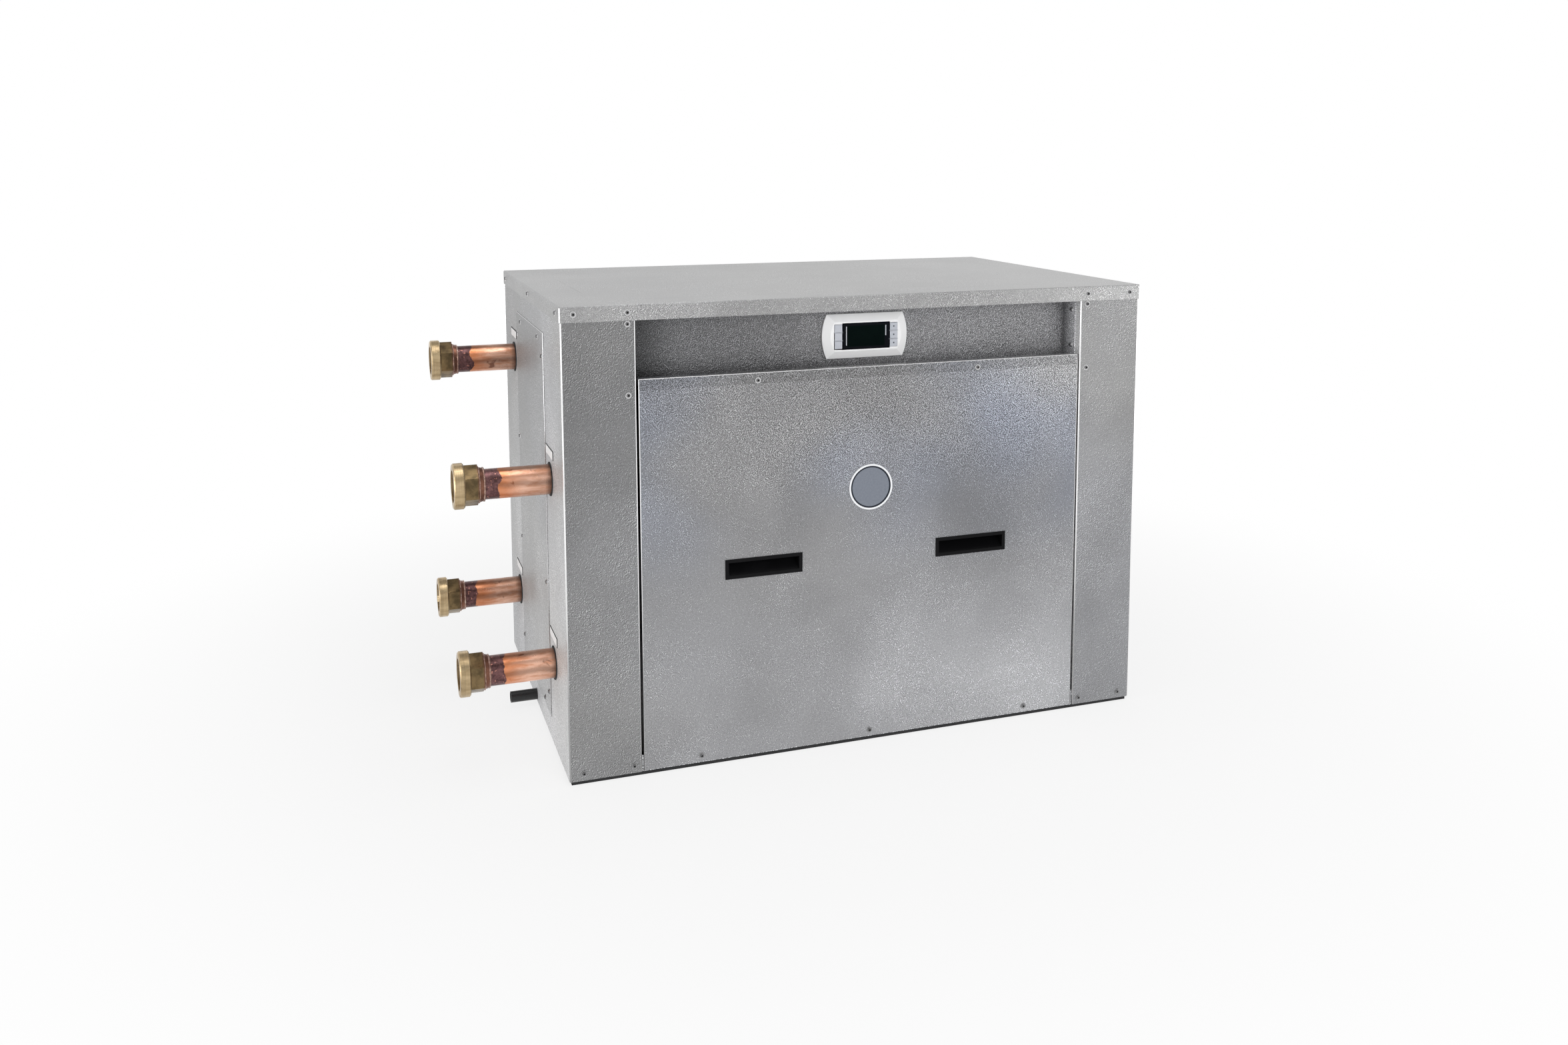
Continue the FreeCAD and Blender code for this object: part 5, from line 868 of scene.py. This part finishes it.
# Refrigerant circuit: a brass reversing valve, a blue filter drier and a brass expansion valve.
# They sit on copper lines, which are bent from drawn tube and brazed at every joint.
valve_brass = tarnished(
    "valve_brass", (0.46, 0.33, 0.15), (0.36, 0.25, 0.11), (0.16, 0.10, 0.05), stains=0.4, size=90.0)[0]
wear(valve_brass, "reversing_valve_body", "expansion_valve")
wear(cast_iron, "reversing_valve_spool")
wear(black_nylon, "reversing_valve_coil")
drier_blue = moulded("drier_blue", (0.04, 0.12, 0.32), (0.07, 0.17, 0.38), 200, 0.3, 0.45, 0.2)
wear(drier_blue, "filter_drier")

# Electrical box: a folded box behind the tray with a contactor, the controller and a flexible conduit.
# The contactor's pale carrier moves in its dark housing.
wear(hidden_zinc, "electrical_box")
dark_housing = moulded("dark_housing", (0.05, 0.05, 0.055), (0.08, 0.08, 0.085), 500, 0.4, 0.55, 0.2)
wear(dark_housing, "contactor_base", "controller_module")
pale_carrier = moulded("pale_carrier", (0.62, 0.61, 0.57), (0.55, 0.54, 0.50), 500, 0.4, 0.55, 0.2)
wear(pale_carrier, "contactor_armature")
wear(black_rubber, "compressor_conduit")


# Studio: a pale floor that runs out to a white surround, soft lamps and the photograph's viewpoint.
# The floor keeps the object's soft shadow.
def background_rays(tree):
    """1 for a ray that shows the background, from the camera, off a gloss or through a clear piece."""
    path = put(tree, "ShaderNodeLightPath").outputs
    seen = sums(tree, "MAXIMUM", path["Is Camera Ray"], path["Is Glossy Ray"])
    return sums(tree, "MAXIMUM", seen, path["Is Transmission Ray"])


FLOOR_HALF, SHADOW_NEAR, SHADOW_REACH = 30.0, 0.7, 1.9
mesh = bpy.data.meshes.new("floor")
mesh.from_pydata([(-FLOOR_HALF, -FLOOR_HALF, 0), (FLOOR_HALF, -FLOOR_HALF, 0),
                  (FLOOR_HALF, FLOOR_HALF, 0), (-FLOOR_HALF, FLOOR_HALF, 0)], [], [(0, 1, 2, 3)])
floor = bpy.data.objects.new("floor", mesh)
bpy.context.scene.collection.objects.link(floor)
finish, tree, shader, where = surface("floor_white", {"Roughness": 0.8, "Base Color": (0.8, 0.8, 0.8, 1)})
paled = ease(tree, vectors(tree, "LENGTH", where), SHADOW_NEAR, SHADOW_REACH, 0.80, 1.0)
shown = sums(tree, "MULTIPLY", background_rays(tree), paled)
glow = put(tree, "ShaderNodeEmission", {"Color": (1, 1, 1, 1), "Strength": 1.0})
lit = put(tree, "ShaderNodeMixShader", {0: shown, 1: shader.outputs[0], 2: glow.outputs[0]})
tree.links.new(lit.outputs[0], tree.nodes["Material Output"].inputs["Surface"])
mesh.materials.append(finish)

AMBIENT, CEILING_START, CEILING_END, CEILING_TONE = 0.55, 0.45, 0.9, 0.35
world = bpy.data.worlds.new("studio")
world.use_nodes = True
tree = world.node_tree
back = tree.nodes["Background"]
level = put(tree, "ShaderNodeMapRange", {"Value": background_rays(tree), "To Min": AMBIENT, "To Max": 1.0})
tree.links.new(level.outputs["Result"], back.inputs["Strength"])
up = axes(tree, put(tree, "ShaderNodeTexCoord").outputs["Generated"])["Z"]
sky = ease(tree, up, CEILING_START, CEILING_END, 1.0, CEILING_TONE)
tree.links.new(grey(tree, sky), back.inputs["Color"])
bpy.context.scene.world = world

for name, at, target, size, power in (
        ("overhead_lamp", (0.1, -0.3, 3.4), (0.0, 0.0, 0.6), 2.0, 34.0),
        ("left_lamp", (-3.0, -0.7, 0.9), (-0.3, 0.0, 0.4), 1.6, 20.0),
        ("right_lamp", (3.0, 0.2, 0.7), (0.3, 0.0, 0.4), 1.6, 14.0),
        ("front_lamp", (0.6, -3.8, 1.1), (0.0, 0.0, 0.4), 2.0, 70.0)):
    lamp = bpy.data.lights.new(name, "AREA")
    lamp.shape = "SQUARE"
    lamp.size = size
    lamp.energy = power
    holder = bpy.data.objects.new(name, lamp)
    holder.location = at
    holder.visible_glossy = name != "front_lamp"
    holder.rotation_euler = (Vector(target) - Vector(at)).to_track_quat("-Z", "Y").to_euler()
    bpy.context.scene.collection.objects.link(holder)

VIEWPOINT = (-0.9241, -2.6262, 1.1005)
YAW, TILT = math.radians(19.843), math.radians(6.771)
lens = bpy.data.cameras.new("viewpoint")
lens.sensor_width = 36.0
lens.lens = 31.265
lens.shift_x = -0.02
lens.shift_y = -0.135
camera = bpy.data.objects.new("viewpoint", lens)
camera.location = VIEWPOINT
camera.rotation_euler = (math.pi / 2 - TILT, 0.0, -YAW)
bpy.context.scene.collection.objects.link(camera)
bpy.context.scene.camera = camera
bpy.context.scene.view_settings.view_transform = "Standard"
